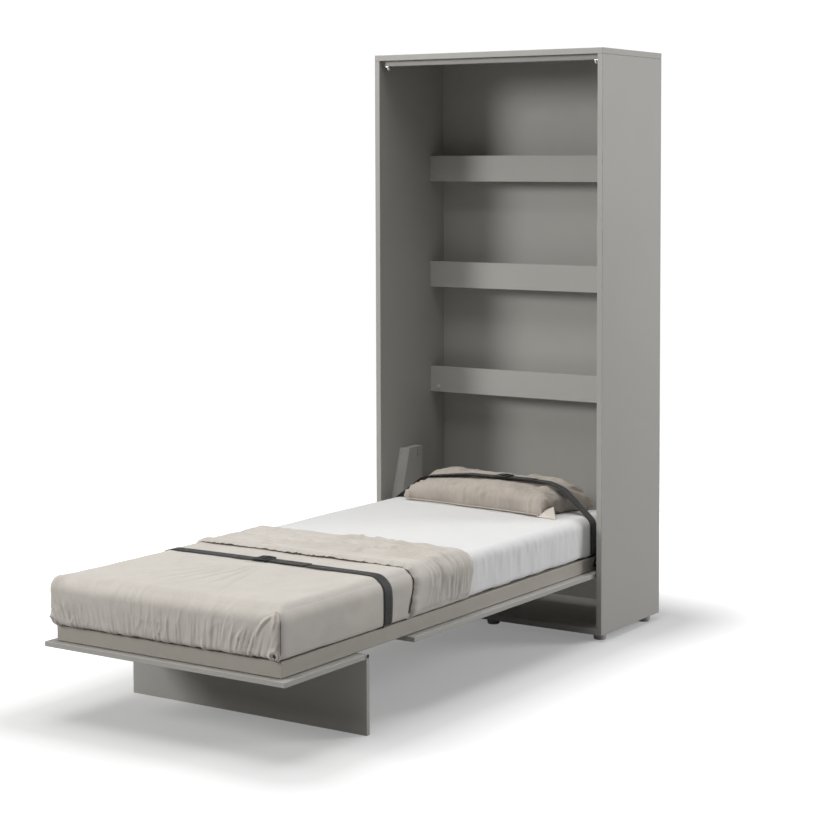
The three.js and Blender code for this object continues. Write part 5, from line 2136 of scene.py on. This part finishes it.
@dataclass
class Studio:
    """The pale floor with its painted soft shadow, the soft lights and the camera."""

    camera_place: Place = (4.0185, -5.5627, 1.7414)
    heading: float = 31.9438
    pitch: float = 3.5
    focal_length: float = 86.0
    shift: tuple[float, float] = (-0.1211, -0.1446)
    floor_reach: float = 40.0
    ambient: float = 0.19
    lamps: tuple = (
        ("overhead", (-0.1, -1.0, 6.5), (0.0, -0.4, 0.0), 5.0, 285, (1.0, 1.0, 1.0)),
        ("key", (-4.5, -5.5, 3.6), (0.2, 0.2, 0.8), 2.6, 320, (1.0, 0.99, 0.975)),
        ("side", (5.2, 4.4, 2.6), (0.4, 0.7, 1.0), 3.0, 245, (0.98, 0.99, 1.0)),
    )

    def camera(self) -> None:
        """Places the camera."""
        data = bpy.data.cameras.new("camera")
        data.lens, data.sensor_width = self.focal_length, 36.0
        data.shift_x, data.shift_y = self.shift
        data.clip_end = 200.0
        camera = bpy.data.objects.new("camera", data)
        camera.location = self.camera_place
        camera.rotation_euler = (math.radians(90 - self.pitch), 0, math.radians(self.heading))
        bpy.context.scene.collection.objects.link(camera)
        bpy.context.scene.camera = camera

    def floor(self) -> None:
        """Lays the floor."""
        reach = self.floor_reach
        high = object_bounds()[1]
        corners = [(-reach, -reach, 0), (reach, -reach, 0), (reach, reach, 0), (-reach, reach, 0)]
        finish = PaleFloor(footprint=(high.x, high.y, 0.0))
        floor = piece_from("floor", corners, [(0, 1, 2, 3)], finish, smooth=False)
        floor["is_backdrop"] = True

    def _area(self, name: str, place: Place, target: Place, size: float, power: float,
              colour: Colour) -> None:
        """One soft area light aimed at a point.

        Args:
            name: The light's name.
            place: Where it hangs.
            target: What it points at.
            size: How wide it is, in metres.
            power: Its power, in watts.
            colour: Its colour.
        """
        data = bpy.data.lights.new(name, "AREA")
        data.shape, data.size, data.energy, data.color = "DISK", size, power, colour
        light = bpy.data.objects.new(name, data)
        light.location = place
        light.rotation_euler = (Vector(target) - Vector(place)).to_track_quat("-Z", "Y").to_euler()
        bpy.context.scene.collection.objects.link(light)

    def lights(self) -> None:
        """Hangs the lights and sets the surround."""
        world = bpy.data.worlds.new("surround")
        world.use_nodes = True
        nodes = Nodes(world.node_tree)
        seen = nodes.add("ShaderNodeLightPath").outputs["Is Camera Ray"]
        strength = nodes.spread(seen, 0.0, 1.0, self.ambient, 1.02)
        nodes.tree.links.new(strength, world.node_tree.nodes["Background"].inputs["Strength"])
        world.node_tree.nodes["Background"].inputs["Color"].default_value = (1.0, 1.0, 1.0, 1.0)
        bpy.context.scene.world = world
        bpy.context.scene.view_settings.view_transform = "Standard"
        for light in self.lamps:
            self._area(*light)

    def build(self) -> None:
        """Builds the studio."""
        self.camera()
        self.floor()
        self.lights()


@dataclass(frozen=True)
class PaleFloor(Finish):
    """Seamless white studio floor, whose glow is weaker near the object: a painted soft shadow round its
    footprint.
    """

    name: str = "studio_floor"
    footprint: Place = (0.5, 1.0, 0.0)
    tone: float = 0.55
    bounce: float = 0.35
    near_glow: float = 0.22
    far_glow: float = 0.85
    glow_reach: float = 0.55
    fade_start: float = 1.8
    fade_end: float = 3.5

    def dress(self, nodes: Nodes, shader: bpy.types.Node) -> None:
        """Writes the floor's nodes.

        Args:
            nodes: The material's tree.
            shader: Its Principled BSDF.
        """
        place = nodes.place()
        seen = nodes.add("ShaderNodeLightPath").outputs["Is Camera Ray"]
        tone = nodes.mix(seen, scaled((1, 1, 1), self.bounce), scaled((1, 1, 1), self.tone))
        past = nodes.vector("SUBTRACT", nodes.vector("ABSOLUTE", place), self.footprint)
        outside = nodes.vector("MAXIMUM", past, (0, 0, 0))
        away = nodes.add("ShaderNodeVectorMath", {0: outside}, operation="LENGTH").outputs["Value"]
        # painted shadow: less glow near the object's footprint darkens the floor round it
        glow_with_painted_shadow = nodes.spread(away, 0.1, self.glow_reach, self.near_glow, self.far_glow)
        nodes.feed(shader, Base_Color=tone, Roughness=0.9, Specular_IOR_Level=0.0,
                  Emission_Color=(1.0, 1.0, 1.0, 1.0), Emission_Strength=nodes.math("MULTIPLY", glow_with_painted_shadow, seen),
                  Alpha=nodes.spread(away, self.fade_start, self.fade_end, 1.0, 0.0))


def main() -> None:
    """Builds the studio and each sub-assembly in order."""
    logging.basicConfig(level=logging.INFO, format="%(name)s: %(message)s")
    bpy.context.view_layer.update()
    for part in (Studio(), Cabinet(), TurningMechanism(), BedFrame(), Mattress(), Bedspread(), Pillow()):
        part.build()
        LOG.info("built %s", type(part).__name__)
    bedding = ("fitted_sheet", "bedspread_main", "bedspread_band", "pillow_case")
    soft = Surfaces([bpy.data.objects[name] for name in bedding])
    for strap in (Strap("strap_over_bedspread", "strap_foot", "buckle_foot", tail_length=0.2),
                  Strap("strap_over_pillow", "strap_head", "buckle_head", tail_length=0.16)):
        strap.build(soft)
        LOG.info("built %s", strap.name)
    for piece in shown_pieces():
        LOG.info("%s: %d faces", piece.name, len(piece.data.polygons))


if __name__ == "__main__":
    main()
